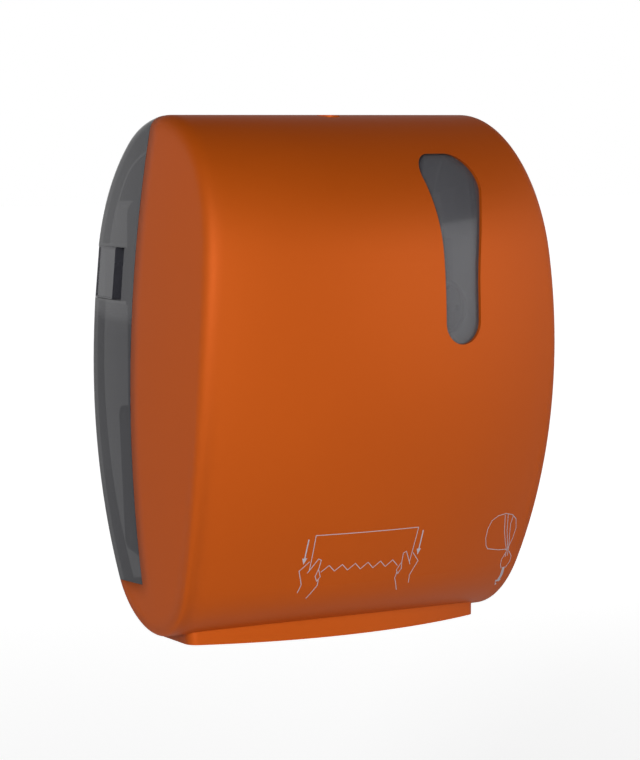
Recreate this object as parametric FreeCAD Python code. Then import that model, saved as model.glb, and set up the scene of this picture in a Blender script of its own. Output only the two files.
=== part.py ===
"""Automatic-cut roll towel dispenser for a wall: a hinged two-colour cover over a drum-and-blade mechanism.

Millimetres. X runs to the right, Y towards the wall (the wall is Y = 0), Z up. While the pieces are drawn,
Z = 0 is the lower edge of the cover's lip. They are exported with the origin at the centre of the four wall
screws, in the plane of the wall.
"""
import FreeCAD, Part
import math
import os
from FreeCAD import Vector

# Overall form of the cover
HEIGHT = 371.0              # lip's lower edge to the top ridge
HALF_WIDTH = 148.4          # at the widest level
WIDEST_Z = 174.0            # level of the widest section
SIDE_RADIUS = 1060.0        # barrel curve of the sides, seen from the front
FRONT_Y = -199.7            # foremost point, on the centre line
FRONT_Z = 222.0             # its level
FRONT_RADIUS = 400.0        # curve of the front, seen from the side
FRONT_TO, FRONT_FROM = 173.0, 206.5   # ends of that curve, as angles from the wall's direction upwards
PLAN_RADIUS = 403.0         # curve of the front, seen from above
RIDGE_Y = -80.0             # line of the top ridge
LOW_Y = -80.0               # line where the underside is lowest
LOW_Z = 4.5                 # its height above the lip's lower edge
REAR_Y = -2.0               # rearmost line of the cover, just off the wall
REAR_RADIUS = 560.0         # curve of the lower rear edge
REAR_LOW_Z = 215.0          # where the lower rear curve starts
TOP_REAR_RADIUS = 62.0      # curve from the ridge to the rear
SIDE_DROPS = ((8.0, 3.0), (-70.0, 0.0), (-150.0, 2.2), (-215.0, 3.6))   # Y, narrowing of each side
WALL = 2.8                  # moulded wall of the cover
EDGE_FRONT = 11.0           # rounding of the side edges along the front
EDGE_REAR = 7.0             # along the rear
EDGE_LOW = 4.0              # along the underside
EDGE_MIN = 1.0              # least rounding on an inner form

# Split of the cover into the coloured front and the smoked rear
PARTING_Y = -70.0
PARTING_FRONT_Z = 40.0      # the smoked part's lower edge at the parting line
PARTING_REAR_Z = 37.3       # and at the wall
SEAM = 0.3                  # gap between the two parts
TONGUE_DEPTH = 8.0          # locating rim of the smoked part inside the coloured one
TONGUE_T = 1.5
OPENING_INSET = 11.5        # return of the smoked part round the rear opening
OPENING_TOP_Z = 353.0
OPENING_CORNER = 30.0

# Grip recess in each side
GRIP_FLOOR_X = 134.0
GRIP_FRONT_Y = -52.0
GRIP_LOW_Z = 241.0
GRIP_TOP_Z = 276.0
GRIP_FLARE = 5.0            # the recess opens by this much at its mouth
GRIP_WALL = 2.4

# Level window in the front, seen from the front
WINDOW_X = 47.6             # axis of the straight slot
WINDOW_LOW_Z = 227.3        # centre of its round lower end
WINDOW_R = 15.6
WINDOW_STRAIGHT = 17.7      # straight stretch on the right, up from the round end
WINDOW_FLARE_R = 190.0      # right side curves out on this radius
WINDOW_FLARE_ANGLE = 21.9
WINDOW_HEAD_R = 20.3        # upper right of the head
WINDOW_LEFT_R = 14.5        # upper left of the head
WINDOW_LEFT_LEAN = 3.0      # the left side leans out by this much at the head
PANE_T = 2.0
PANE_LAP = 6.0

# Lip round the towel outlet
LIP_HALF = 120.2
LIP_FRONT_R = 329.0         # about the same centre as the front's plan curve
LIP_REAR_Y = -62.0
LIP_CORNER = 9.0
LIP_WALL = 2.6
LIP_TOP_Z = 34.0
LIP_BLEND = 5.0

# Wall plate
MOUNT_Z = 205.0             # centre of the wall screws above the lip
SCREW_SPAN_X = 160.0
SCREW_SPAN_Z = 190.0
WALL_SCREW_R = 3.0
PLATE_HALF = 115.0
PLATE_LOW_Z = 56.0
PLATE_TOP_Z = 312.0
PLATE_T = 3.0
PLATE_RIM = 14.0            # depth of the stiffening rim
PLATE_RIM_T = 2.4
PLATE_CORNER = 14.0
FAIRING_INSET = 3.3        # the plate's curved top follows the cover's form, this far inside it
FAIRING_T = 2.4
FAIRING_GAP = 1.0           # to the edge of the cover's opening

# Hinge of the cover
HINGE_Y = -46.0
HINGE_Z = 34.0
HINGE_PIN_R = 3.0
HINGE_EYE_R = 6.5
HINGE_EYE_W = 5.0
NOTCH_FROM, NOTCH_TO = -55.0, 60.0   # slot in the cover's rear heel that lets the hinge lug through
RUN = 0.05                  # radial running clearance of a shaft in its hole

# Side plates of the mechanism
CHEEK_X = 109.0             # inner face
CHEEK_T = 3.0
CHEEK_TOP_Z = 166.0
CHEEK_GAP = 1.0             # to the eye of the cover

# Towel roll that the holder takes
ROLL_Y = -95.0
ROLL_Z = 230.0
ROLL_R = 84.0

# Drum
DRUM_Y = -88.0
DRUM_Z = 98.0
DRUM_R = 42.0
DRUM_WALL = 3.5
DRUM_HALF = 100.0           # half length of the two shells
DRUM_END_T = 4.0
SHAFT_R = 4.0
SLOT_ANGLE = 215.0          # where the blade slot points, from +Y over +Z
SLOT_BEFORE = 17.5          # degrees of opening on either side of that
SLOT_AFTER = 6.5
GROOVE_COUNT = 7
GROOVE_PITCH = 30.0
GROOVE_W = 3.6
GROOVE_DEPTH = 2.4
BAND_W = 14.0
BAND_T = 1.0

# Blade and its carrier, in the drum's own axes: outwards through the slot, and along the turn from it
CARRIER_PIVOT = (24.0, -24.0)
CARRIER_HALF = 96.0
BLADE_TIP = (38.5, 1.0)
BLADE_HALF = 94.0
BLADE_WIDTH = 12.0
BLADE_T = 0.8
BLADE_LEAN = 23.9           # degrees the blade lies back at rest, and swings out by
TOOTH_PITCH = 4.0
TOOTH_DEPTH = 2.6
PIVOT_R = 2.0
FOLLOWER = (26.0, -2.0)
FOLLOWER_R = 2.5
RAIL_GAP = 0.3              # between the follower and the inside of its rail
RAIL_T = 2.4
RAIL_H = 3.6
RAIL_FOOT_R = 40.0          # flange of the rail on the side plate
RAIL_FOOT_T = 1.0
GATE_BEFORE, GATE_AFTER = 28.0, 16.0    # degrees of the gap where the follower leaves the rail

# Pinch roller over the drum
PINCH_R = 9.0
PINCH_ANGLE = 135.0         # where it sits on the drum
PINCH_GAP = 0.3
PINCH_ARM = 26.0            # pivot to roller axis
PINCH_SHAFT_R = 3.0
PINCH_ROLLER_W = 24.0
PINCH_ROLLER_X = (-75.0, -25.0, 25.0, 75.0)

# Lock
LOCK_Y = -92.0
LOCK_R = 8.5
LOCK_NECK_R = 6.0
LOCK_SUNK = 2.6             # the barrel's face lies this far below the ridge
TONGUE_Z = 333.0            # underside of the lock's tongue
TONGUE_THICK = 3.0
TONGUE_LEN = 20.0
TONGUE_W = 7.0
KEEPER_X = 9.5
KEEPER_W = 12.5

NODES = {}


def v(x, y, z):
    return Vector(x, y, z)


def box(x, y, z):
    """A block from three (low, high) pairs."""
    return Part.makeBox(x[1] - x[0], y[1] - y[0], z[1] - z[0], v(x[0], y[0], z[0]))


def rod(r, x0, x1, y, z):
    """A cylinder along X."""
    return Part.makeCylinder(r, x1 - x0, v(x0, y, z), v(1, 0, 0))


def tube(r_out, r_in, x0, x1, y, z):
    return rod(r_out, x0, x1, y, z).cut(rod(r_in, x0 - 1, x1 + 1, y, z))


def post(r, z0, z1, x, y):
    """A cylinder along Z."""
    return Part.makeCylinder(r, z1 - z0, v(x, y, z0), v(0, 0, 1))


def stud(r, y0, y1, x, z):
    """A cylinder along Y."""
    return Part.makeCylinder(r, y1 - y0, v(x, y0, z), v(0, 1, 0))


def prism(points, x0, x1):
    """A polygon of (y, z) points, extruded along X."""
    wire = Part.makePolygon([v(x0, y, z) for y, z in points + points[:1]])
    return Part.Face(wire).extrude(v(x1 - x0, 0, 0))


def rounded_prism(points, x0, x1, r):
    """The same with its corners rounded."""
    solid = prism(points, x0, x1)
    corners = [e for e in solid.Edges if abs(e.tangentAt(e.FirstParameter).x) > 0.99]
    return solid.makeFillet(r, corners)


def polar(y, z, r, angle):
    a = math.radians(angle)
    return (y + r * math.cos(a), z + r * math.sin(a))


def arc_yz(x, y, z, r, a0, a1):
    points = [polar(y, z, r, a) for a in (a0, (a0 + a1) / 2, a1)]
    return Part.Arc(*[v(x, p[0], p[1]) for p in points]).toShape()


def line(a, b):
    return Part.LineSegment(a, b).toShape()


def sector(r_in, r_out, a0, a1, x0, x1, y, z):
    """Part of a tube about an X axis, from angle a0 to a1."""
    outer = arc_yz(x0, y, z, r_out, a0, a1)
    inner = arc_yz(x0, y, z, r_in, a1, a0)
    ends = [line(v(x0, *polar(y, z, r_out, a1)), v(x0, *polar(y, z, r_in, a1))),
            line(v(x0, *polar(y, z, r_in, a0)), v(x0, *polar(y, z, r_out, a0)))]
    wire = Part.Wire([outer, ends[0], inner, ends[1]])
    return Part.Face(wire).extrude(v(x1 - x0, 0, 0))


def mirrored(shape):
    return shape.mirror(v(0, 0, 0), v(1, 0, 0))


def both(shape):
    """A right-hand shape and its left-hand twin, as one group."""
    return Part.makeCompound([shape, mirrored(shape)])


def joined(first, *rest):
    return first.fuse(list(rest)).removeSplitter()


def group(shapes):
    return Part.makeCompound(shapes)


def screw(head, length, r=1.5, head_r=3.0, head_h=2.0):
    """A pan-head screw with a cross recess. head: point under the head and direction of the shank."""
    point, way = head
    shank = Part.makeCylinder(r, length, point, way)
    cap = Part.makeCylinder(head_r, head_h, point, way * -1)
    top = point - way * head_h
    cross = Part.makeCylinder(head_r * 0.45, head_h * 0.5, top, way)
    return shank.fuse(cap).cut(cross).removeSplitter()


# Cover: one smooth form, hollowed and split

def tangent_radius(big, dy, dz):
    """Radius of the arc that leaves a level line and runs smoothly into an arc of radius big."""
    return (big ** 2 - dy ** 2 - dz ** 2) / (2 * (big - dz))


def heading(angle):
    """Direction of travel at an angle on an arc, as (y, z)."""
    return polar(0, 0, 1, angle + 90)


def bend(x, start, leave, end, arrive):
    """A smooth curve between two (y, z) points, tangent to both directions. On equal legs it is an arc."""
    dy, dz = end[0] - start[0], end[1] - start[1]
    across = leave[0] * arrive[1] - leave[1] * arrive[0]
    first = (dy * arrive[1] - dz * arrive[0]) / across
    last = (leave[0] * dz - leave[1] * dy) / across
    turn = math.acos(leave[0] * arrive[0] + leave[1] * arrive[1])
    pull = 4 / 3 * math.tan(turn / 4) / math.tan(turn / 2)
    curve = Part.BezierCurve()
    curve.setPoles([v(x, *start),
                    v(x, start[0] + pull * first * leave[0], start[1] + pull * first * leave[1]),
                    v(x, end[0] - pull * last * arrive[0], end[1] - pull * last * arrive[1]),
                    v(x, *end)])
    return curve.toShape()


def side_profile(x, inset):
    """Closed outline of the cover in the plane at x: ridge, front, underside, heel, rear and crown."""
    front = (FRONT_Y + PLAN_RADIUS - math.sqrt(PLAN_RADIUS ** 2 - x ** 2) + FRONT_RADIUS, FRONT_Z)
    front_top = polar(*front, FRONT_RADIUS - inset, FRONT_TO)
    front_low = polar(*front, FRONT_RADIUS - inset, FRONT_FROM)
    rear = (REAR_Y - REAR_RADIUS, REAR_LOW_Z)
    r_heel = tangent_radius(REAR_RADIUS, LOW_Y - rear[0], REAR_LOW_Z - LOW_Z)
    heel = (LOW_Y, LOW_Z + r_heel)
    a_heel = math.degrees(math.atan2(heel[1] - rear[1], heel[0] - rear[0]))
    half = math.sqrt(0.5)
    r_back = (REAR_Y - RIDGE_Y - TOP_REAR_RADIUS * half) / (1 - half)
    crown = (RIDGE_Y, HEIGHT - TOP_REAR_RADIUS)
    back = (crown[0] - (r_back - TOP_REAR_RADIUS) * half, crown[1] - (r_back - TOP_REAR_RADIUS) * half)
    return Part.Wire([
        line(v(x, REAR_Y - inset, REAR_LOW_Z), v(x, REAR_Y - inset, back[1])),
        arc_yz(x, *back, r_back - inset, 0, 45),
        arc_yz(x, *crown, TOP_REAR_RADIUS - inset, 45, 90),
        bend(x, (RIDGE_Y, HEIGHT - inset), (-1.0, 0.0), front_top, heading(FRONT_TO)),
        arc_yz(x, *front, FRONT_RADIUS - inset, FRONT_TO, FRONT_FROM),
        bend(x, front_low, heading(FRONT_FROM), (LOW_Y, LOW_Z + inset), (1.0, 0.0)),
        arc_yz(x, *heel, r_heel - inset, 270, 360 + a_heel),
        arc_yz(x, *rear, REAR_RADIUS - inset, a_heel, 0)])


def half_width(z, inset=0.0):
    """Half width of the barrel outline at height z."""
    return HALF_WIDTH - inset - SIDE_RADIUS + math.sqrt(SIDE_RADIUS ** 2 - (z - WIDEST_Z) ** 2)


def front_outline(y, inset, low, high):
    """The barrel outline from the front, at depth y."""
    def at(side, z):
        return v(side * half_width(z, inset), y, z)
    left = Part.Arc(at(-1, low), at(-1, WIDEST_Z), at(-1, high)).toShape()
    right = Part.Arc(at(1, high), at(1, WIDEST_Z), at(1, low)).toShape()
    return Part.Wire([left, line(at(-1, high), at(1, high)), right, line(at(1, low), at(-1, low))])


def edge_rounding(point, inset):
    """Rounding of the side edge at a point: large in front, smaller behind and below."""
    if point.z < LOW_Z + 60:
        r = EDGE_LOW
    elif point.y > RIDGE_Y + 1:
        r = EDGE_REAR
    else:
        r = EDGE_FRONT
    return max(r - inset, EDGE_MIN)


FORMS = {}


def cover_form(inset):
    """The cover's solid form, drawn in by inset on all sides."""
    if inset not in FORMS:
        FORMS[inset] = make_form(inset)
    return FORMS[inset]


def make_form(inset):
    reach = HALF_WIDTH + 1.6
    sections = [side_profile(x, inset) for x in (-reach, -reach / 2, 0, reach / 2, reach)]
    lens = Part.makeLoft(sections, True, False)
    low, high = -15.0, HEIGHT + 17
    barrel = Part.makeLoft([front_outline(y, inset + d, low, high) for y, d in SIDE_DROPS], True, False)
    body = lens.common(barrel)
    sides = [f for f in body.Faces if abs(f.CenterOfMass.x) > 0.75 * HALF_WIDTH]
    side_edges = [e for f in sides for e in f.Edges]
    picks = []
    for number, edge in enumerate(body.Edges, 1):
        if any(edge.isSame(e) for e in side_edges):
            ends = [edge.valueAt(edge.FirstParameter), edge.valueAt(edge.LastParameter)]
            picks.append((number, edge_rounding(ends[0], inset), edge_rounding(ends[1], inset)))
    sheet = FreeCAD.newDocument("rounding")
    base = sheet.addObject("Part::Feature", "base")
    base.Shape = body
    fillet = sheet.addObject("Part::Fillet", "fillet")
    fillet.Base = base
    fillet.Edges = picks
    sheet.recompute()
    result = fillet.Shape.copy()
    FreeCAD.closeDocument(sheet.Name)
    return result


def window_outline(grow):
    """Comma-shaped outline in the front view: round foot, flared right side, rounded head."""
    r = WINDOW_R + grow
    left, right = WINDOW_X - r, WINDOW_X + r
    foot = WINDOW_LOW_Z
    flare_r = WINDOW_FLARE_R - grow
    flare = (right + flare_r, foot + WINDOW_STRAIGHT)
    a = math.radians(180 - WINDOW_FLARE_ANGLE)
    half_a = math.radians(180 - WINDOW_FLARE_ANGLE / 2)
    turn = (flare[0] + flare_r * math.cos(a), flare[1] + flare_r * math.sin(a))
    half_turn = (flare[0] + flare_r * math.cos(half_a), flare[1] + flare_r * math.sin(half_a))
    head_r = WINDOW_HEAD_R + grow
    head = (turn[0] + head_r * math.cos(a), turn[1] + head_r * math.sin(a))
    b = math.radians((90 - WINDOW_FLARE_ANGLE) / 2)
    corner_r = WINDOW_LEFT_R + grow
    corner = (left - WINDOW_LEFT_LEAN + corner_r, head[1] + head_r - corner_r)
    mid = math.sqrt(0.5) * corner_r

    def at(p):
        return v(p[0], FRONT_Y - 10, p[1])
    lean_low = (left, foot + 0.55 * (corner[1] - foot))
    return Part.Wire([
        Part.Arc(at((left, foot)), at((WINDOW_X, foot - r)), at((right, foot))).toShape(),
        line(at((right, foot)), at((right, flare[1]))),
        Part.Arc(at((right, flare[1])), at(half_turn), at(turn)).toShape(),
        Part.Arc(at(turn), at((head[0] + head_r * math.cos(b), head[1] + head_r * math.sin(b))),
                 at((head[0], head[1] + head_r))).toShape(),
        line(at((head[0], head[1] + head_r)), at((corner[0], corner[1] + corner_r))),
        Part.Arc(at((corner[0], corner[1] + corner_r)), at((corner[0] - mid, corner[1] + mid)),
                 at((corner[0] - corner_r, corner[1]))).toShape(),
        Part.Arc(at((corner[0] - corner_r, corner[1])),
                 at((left - 0.3 * WINDOW_LEFT_LEAN, (corner[1] + lean_low[1]) / 2)),
                 at(lean_low)).toShape(),
        line(at(lean_low), at((left, foot)))])


def window_prism(grow):
    return Part.Face(window_outline(grow)).extrude(v(0, 110, 0))


def lip_prism(inset, low, high, corner):
    """Plan outline of the lip: front arc, two sides and a rear side, extruded upwards."""
    centre_y = FRONT_Y + PLAN_RADIUS
    half = LIP_HALF - inset
    r = LIP_FRONT_R - inset
    side_y = centre_y - math.sqrt(r ** 2 - half ** 2)
    rear_y = LIP_REAR_Y - inset
    wire = Part.Wire([
        Part.Arc(v(-half, side_y, low), v(0, centre_y - r, low), v(half, side_y, low)).toShape(),
        line(v(half, side_y, low), v(half, rear_y, low)),
        line(v(half, rear_y, low), v(-half, rear_y, low)),
        line(v(-half, rear_y, low), v(-half, side_y, low))])
    solid = Part.Face(wire).extrude(v(0, 0, high - low))
    uprights = [e for e in solid.Edges
                if abs(e.tangentAt(e.FirstParameter).z) > 0.99 and e.CenterOfMass.y < LIP_REAR_Y - 15]
    return solid.makeFillet(corner, uprights)


def parting_line_z(y):
    """Height of the smoked part's lower edge at depth y."""
    return PARTING_REAR_Z + (PARTING_FRONT_Z - PARTING_REAR_Z) * y / PARTING_Y


def rear_region(gap):
    """Space that belongs to the smoked rear part, less gap at the seam."""
    wide = HALF_WIDTH + 20
    front = PARTING_Y + gap
    points = [(front, parting_line_z(front) + gap), (20, parting_line_z(20) + gap), (20, HEIGHT + 20),
              (front, HEIGHT + 20)]
    return prism(points, -wide, wide)


def rear_opening(gap=0.0):
    """The way through the back of the cover, for the mechanism on the wall plate."""
    front = PARTING_Y + TONGUE_T + 2
    outline = front_outline(front, OPENING_INSET + gap, PARTING_REAR_Z - 20, OPENING_TOP_Z - gap)
    solid = Part.Face(outline).extrude(v(0, 10 - front, 0))
    corners = [e for e in solid.Edges if abs(e.tangentAt(e.FirstParameter).y) > 0.99 and e.CenterOfMass.z > WIDEST_Z]
    return solid.makeFillet(OPENING_CORNER, corners)


def grip_prism(grow):
    """The right-hand grip recess, or with grow the block that forms its walls."""
    out_x = HALF_WIDTH + 12
    floor_x = GRIP_FLOOR_X - grow
    low, top = GRIP_LOW_Z - grow, GRIP_TOP_Z + grow
    y0 = GRIP_FRONT_Y - grow
    wire = Part.makePolygon([v(floor_x, y0, low), v(out_x, y0, low - 1.5), v(out_x, y0, top + GRIP_FLARE),
                             v(floor_x, y0, top), v(floor_x, y0, low)])
    return Part.Face(wire).extrude(v(0, 10 - y0, 0))


def hinge_eye():
    """Right-hand eye of the cover: a ring on a web that stands on the underside."""
    x0 = CHEEK_X + CHEEK_T + CHEEK_GAP
    x1 = x0 + HINGE_EYE_W
    ring = rod(HINGE_EYE_R, x0, x1, HINGE_Y, HINGE_Z)
    web = prism([(HINGE_Y + HINGE_EYE_R, HINGE_Z), (HINGE_Y - HINGE_EYE_R, HINGE_Z),
                 (HINGE_Y - 1.8 * HINGE_EYE_R, 0), (HINGE_Y + HINGE_EYE_R, 0)], x0, x1)
    return ring.fuse(web)


def cover_parts():
    outer = cover_form(0)
    inner = cover_form(WALL)
    shell = outer.cut(inner)
    rear_half = rear_region(SEAM / 2)

    # Smoked rear part, with its rear opening, locating rim and grips
    smoked = shell.common(rear_half).cut(rear_opening())
    rim = inner.cut(cover_form(WALL + TONGUE_T))
    slab = box((-HALF_WIDTH, HALF_WIDTH), (PARTING_Y - TONGUE_DEPTH, PARTING_Y + TONGUE_DEPTH),
               (PARTING_FRONT_Z + SEAM, HEIGHT))
    smoked = smoked.fuse(rim.common(slab))
    for side in (1, -1):
        walls = grip_prism(GRIP_WALL)
        hollow = grip_prism(0)
        if side < 0:
            walls, hollow = mirrored(walls), mirrored(hollow)
        smoked = smoked.fuse(walls.common(outer)).cut(hollow)
    NODES["smoked_shell"] = smoked.removeSplitter()

    # Coloured front part with the lip, window, hinge eyes and lock boss
    front = shell.cut(rear_region(-SEAM / 2))
    lip = lip_prism(0, 0, LIP_TOP_Z, LIP_CORNER).cut(inner)
    front = front.fuse(lip)
    front = front.cut(lip_prism(LIP_WALL, -1, LIP_TOP_Z, LIP_CORNER - LIP_WALL))
    eyes = [hinge_eye().common(outer), mirrored(hinge_eye()).common(outer)]
    boss = post(LOCK_R + 3, TONGUE_Z + 13, HEIGHT, 0, LOCK_Y).common(outer)
    front = front.fuse(eyes + [boss])
    cuts = [window_prism(0), post(LOCK_R + RUN, TONGUE_Z, HEIGHT + 1, 0, LOCK_Y)]
    for side in (1, -1):
        pin_hole = rod(HINGE_PIN_R + RUN, CHEEK_X, CHEEK_X + 20, HINGE_Y, HINGE_Z)
        notch = sector(HINGE_EYE_R + 1, 30, NOTCH_FROM, NOTCH_TO, CHEEK_X - 0.8, CHEEK_X + CHEEK_T + 0.7,
                       HINGE_Y, HINGE_Z)
        cuts += [pin_hole, notch] if side > 0 else [mirrored(pin_hole), mirrored(notch)]
    for cutter in cuts:
        front = front.cut(cutter)
    NODES["front_cover"] = front.removeSplitter()

    # Pane behind the window
    NODES["window_pane"] = inner.cut(cover_form(WALL + PANE_T)).common(window_prism(PANE_LAP))


def lock_parts():
    top_z = HEIGHT - LOCK_SUNK
    neck_z = TONGUE_Z + TONGUE_THICK
    barrel = post(LOCK_R, neck_z + 8, top_z, 0, LOCK_Y).fuse(post(LOCK_NECK_R, neck_z, neck_z + 8, 0, LOCK_Y))
    keyway = box((-0.9, 0.9), (LOCK_Y - 4.5, LOCK_Y + 4.5), (top_z - 12, top_z + 1))
    dish = Part.makeCone(LOCK_R - 2.5, LOCK_R - 1.5, 1.0, v(0, LOCK_Y, top_z - 1), v(0, 0, 1))
    NODES["lock_barrel"] = barrel.cut(keyway).cut(dish).removeSplitter()
    blade = box((-TONGUE_W / 2, TONGUE_W / 2), (LOCK_Y, LOCK_Y + TONGUE_LEN), (TONGUE_Z, neck_z))
    disc = post(LOCK_NECK_R, TONGUE_Z, neck_z, 0, LOCK_Y)
    hole = post(1.6, TONGUE_Z - 1, neck_z + 1, 0, LOCK_Y)
    NODES["lock_tongue"] = joined(disc, blade).cut(hole)
    NODES["tongue_screw"] = screw((v(0, LOCK_Y, TONGUE_Z), v(0, 0, 1)), TONGUE_THICK, 1.5, 3.2, 2.0)


# Wall plate and the frame of the mechanism

def back_plate():
    outline = [(-PLATE_HALF, PLATE_LOW_Z), (PLATE_HALF, PLATE_LOW_Z), (PLATE_HALF, PLATE_TOP_Z),
               (-PLATE_HALF, PLATE_TOP_Z)]

    def slab(inset, y0, y1):
        x = PLATE_HALF - inset
        block = box((-x, x), (y0, y1), (PLATE_LOW_Z + inset, PLATE_TOP_Z - inset))
        corners = [e for e in block.Edges if abs(e.tangentAt(e.FirstParameter).y) > 0.99]
        return block.makeFillet(PLATE_CORNER - inset, corners)
    plate = slab(0, -PLATE_T, 0)
    rim = slab(0, -PLATE_RIM, -PLATE_T).cut(slab(PLATE_RIM_T, -PLATE_RIM - 1, 0))
    rim = rim.cut(box((-200, 200), (-PLATE_RIM - 1, 0), (0, CHEEK_TOP_Z + 4)))
    ribs = []
    for x in (-SCREW_SPAN_X / 4, SCREW_SPAN_X / 4):
        ribs.append(box((x - 1.2, x + 1.2), (-PLATE_T - 5, -PLATE_T), (PLATE_LOW_Z + 6, PLATE_TOP_Z - PLATE_RIM_T)))
    for z in (CHEEK_TOP_Z + 10, ROLL_Z, PLATE_TOP_Z - 46):
        ribs.append(box((-86, 86), (-PLATE_T - 5, -PLATE_T), (z - 1.2, z + 1.2)))
    lugs = []
    for side in (1, -1):
        for z0, z1 in ((ROLL_Z - 18, ROLL_Z - 12.3), (ROLL_Z + 12.3, ROLL_Z + 18)):
            lug = post(ARM_KNUCKLE_R, z0, z1, ARM_X, ARM_Y)
            foot = box((ARM_X - ARM_KNUCKLE_R, ARM_X + ARM_KNUCKLE_R), (ARM_Y, -PLATE_T), (z0, z1))
            lug = lug.fuse(foot).cut(post(ARM_PIN_R, z0 - 1, z1 + 1, ARM_X, ARM_Y))
            lugs.append(lug if side > 0 else mirrored(lug))
    solid = joined(plate, rim, *ribs, *lugs)
    fairing = cover_form(FAIRING_INSET).cut(cover_form(FAIRING_INSET + FAIRING_T))
    above = box((-HALF_WIDTH, HALF_WIDTH), (PARTING_Y, 0), (PLATE_TOP_Z - PLATE_RIM_T, HEIGHT))
    solid = solid.fuse(fairing.common(rear_opening(FAIRING_GAP)).common(above)).removeSplitter()
    for x in (-SCREW_SPAN_X / 2, SCREW_SPAN_X / 2):
        for z in (MOUNT_Z - SCREW_SPAN_Z / 2, MOUNT_Z + SCREW_SPAN_Z / 2):
            solid = solid.cut(stud(WALL_SCREW_R, -20, 1, x, z))
    for x, z in cheek_screw_places():
        solid = solid.cut(stud(1.3, -PLATE_T - 1, 1, x, z))
    for x in keeper_screw_places():
        solid = solid.cut(stud(1.3, -PLATE_T - 1, 1, x, KEEPER_FOOT_Z))
    NODES["back_plate"] = solid


ARM_X = 108.0               # line of the roll arms
ARM_Y = -12.0
ARM_KNUCKLE_R = 4.4
ARM_PIN_R = 2.5
ARM_T = 4.0
ARM_EYE_R = 12.0
KEEPER_FOOT_Z = PLATE_TOP_Z - 12
FOOT_IN = 12.0              # cheek's foot, inwards from its inner face


def cheek_screw_places():
    x = CHEEK_X - FOOT_IN / 2
    return [(s * x, z) for s in (1, -1) for z in (PLATE_LOW_Z + 18, CHEEK_TOP_Z - 14)]


def keeper_screw_places():
    return [KEEPER_X + KEEPER_W / 2 - 9, KEEPER_X + KEEPER_W / 2 + 9]


def pinch_places():
    """Axis of the pinch roller and of its yoke."""
    roller = polar(DRUM_Y, DRUM_Z, DRUM_R + BAND_T + PINCH_GAP + PINCH_R, PINCH_ANGLE)
    pivot = polar(roller[0], roller[1], PINCH_ARM, PINCH_ANGLE + 90)
    return roller, pivot


TIE_BARS = ((-146.0, 96.0), (-36.0, 150.0))
TIE_R = 4.0
TIE_SCREW_R = 1.6
BUSH_R = 7.0
GUIDE_R = 55.0              # inner radius of the front guide about the drum
GUIDE_T = 2.0
GUIDE_FROM, GUIDE_TO = 196.0, 262.0
CHUTE_LOW_Z = 12.0
GUIDE_SCREW_R = 1.2
COMB_Y = -80.0              # front face of the rear chute plate
COMB_T = 2.0


def cheek():
    """Right-hand side plate of the mechanism, with a foot on the wall plate and the hinge lug."""
    x0, x1 = CHEEK_X, CHEEK_X + CHEEK_T
    outline = [(-PLATE_T, PLATE_LOW_Z + 2), (-PLATE_T, CHEEK_TOP_Z), (-100, CHEEK_TOP_Z), (-151, 134),
               (-155, 104), (-150, 88), (-126, 58), (-104, 42), (-76, 42), (-48, 54)]
    plate = rounded_prism(outline, x0, x1, 2.5)
    lug = prism([(HINGE_Y - HINGE_EYE_R, HINGE_Z), (HINGE_Y + 5.5, HINGE_Z + 1), (HINGE_Y + 5.5, HINGE_Z + 24),
                 (HINGE_Y - 20, HINGE_Z + 24)], x0, x1)
    eye = rod(HINGE_EYE_R, x0, x1, HINGE_Y, HINGE_Z)
    foot = box((x0 - FOOT_IN, x0), (-PLATE_T - 3, -PLATE_T), (PLATE_LOW_Z + 8, CHEEK_TOP_Z - 4))
    solid = joined(plate, lug, eye, foot)
    roller, pivot = pinch_places()
    holes = [rod(HINGE_PIN_R, x0 - 1, x1 + 1, HINGE_Y, HINGE_Z), rod(BUSH_R, x0 - 1, x1 + 1, DRUM_Y, DRUM_Z),
             rod(PINCH_SHAFT_R, x0 - 1, x1 + 1, pivot[0], pivot[1])]
    holes += [rod(TIE_SCREW_R, x0 - 1, x1 + 1, y, z) for y, z in TIE_BARS]
    holes += [stud(1.7, -20, 0, CHEEK_X - FOOT_IN / 2, z) for x, z in cheek_screw_places()[:2]]
    holes += [rod(10, x0 - 1, x1 + 1, -32, 104)]
    for hole in holes:
        solid = solid.cut(hole)
    return solid


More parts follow.
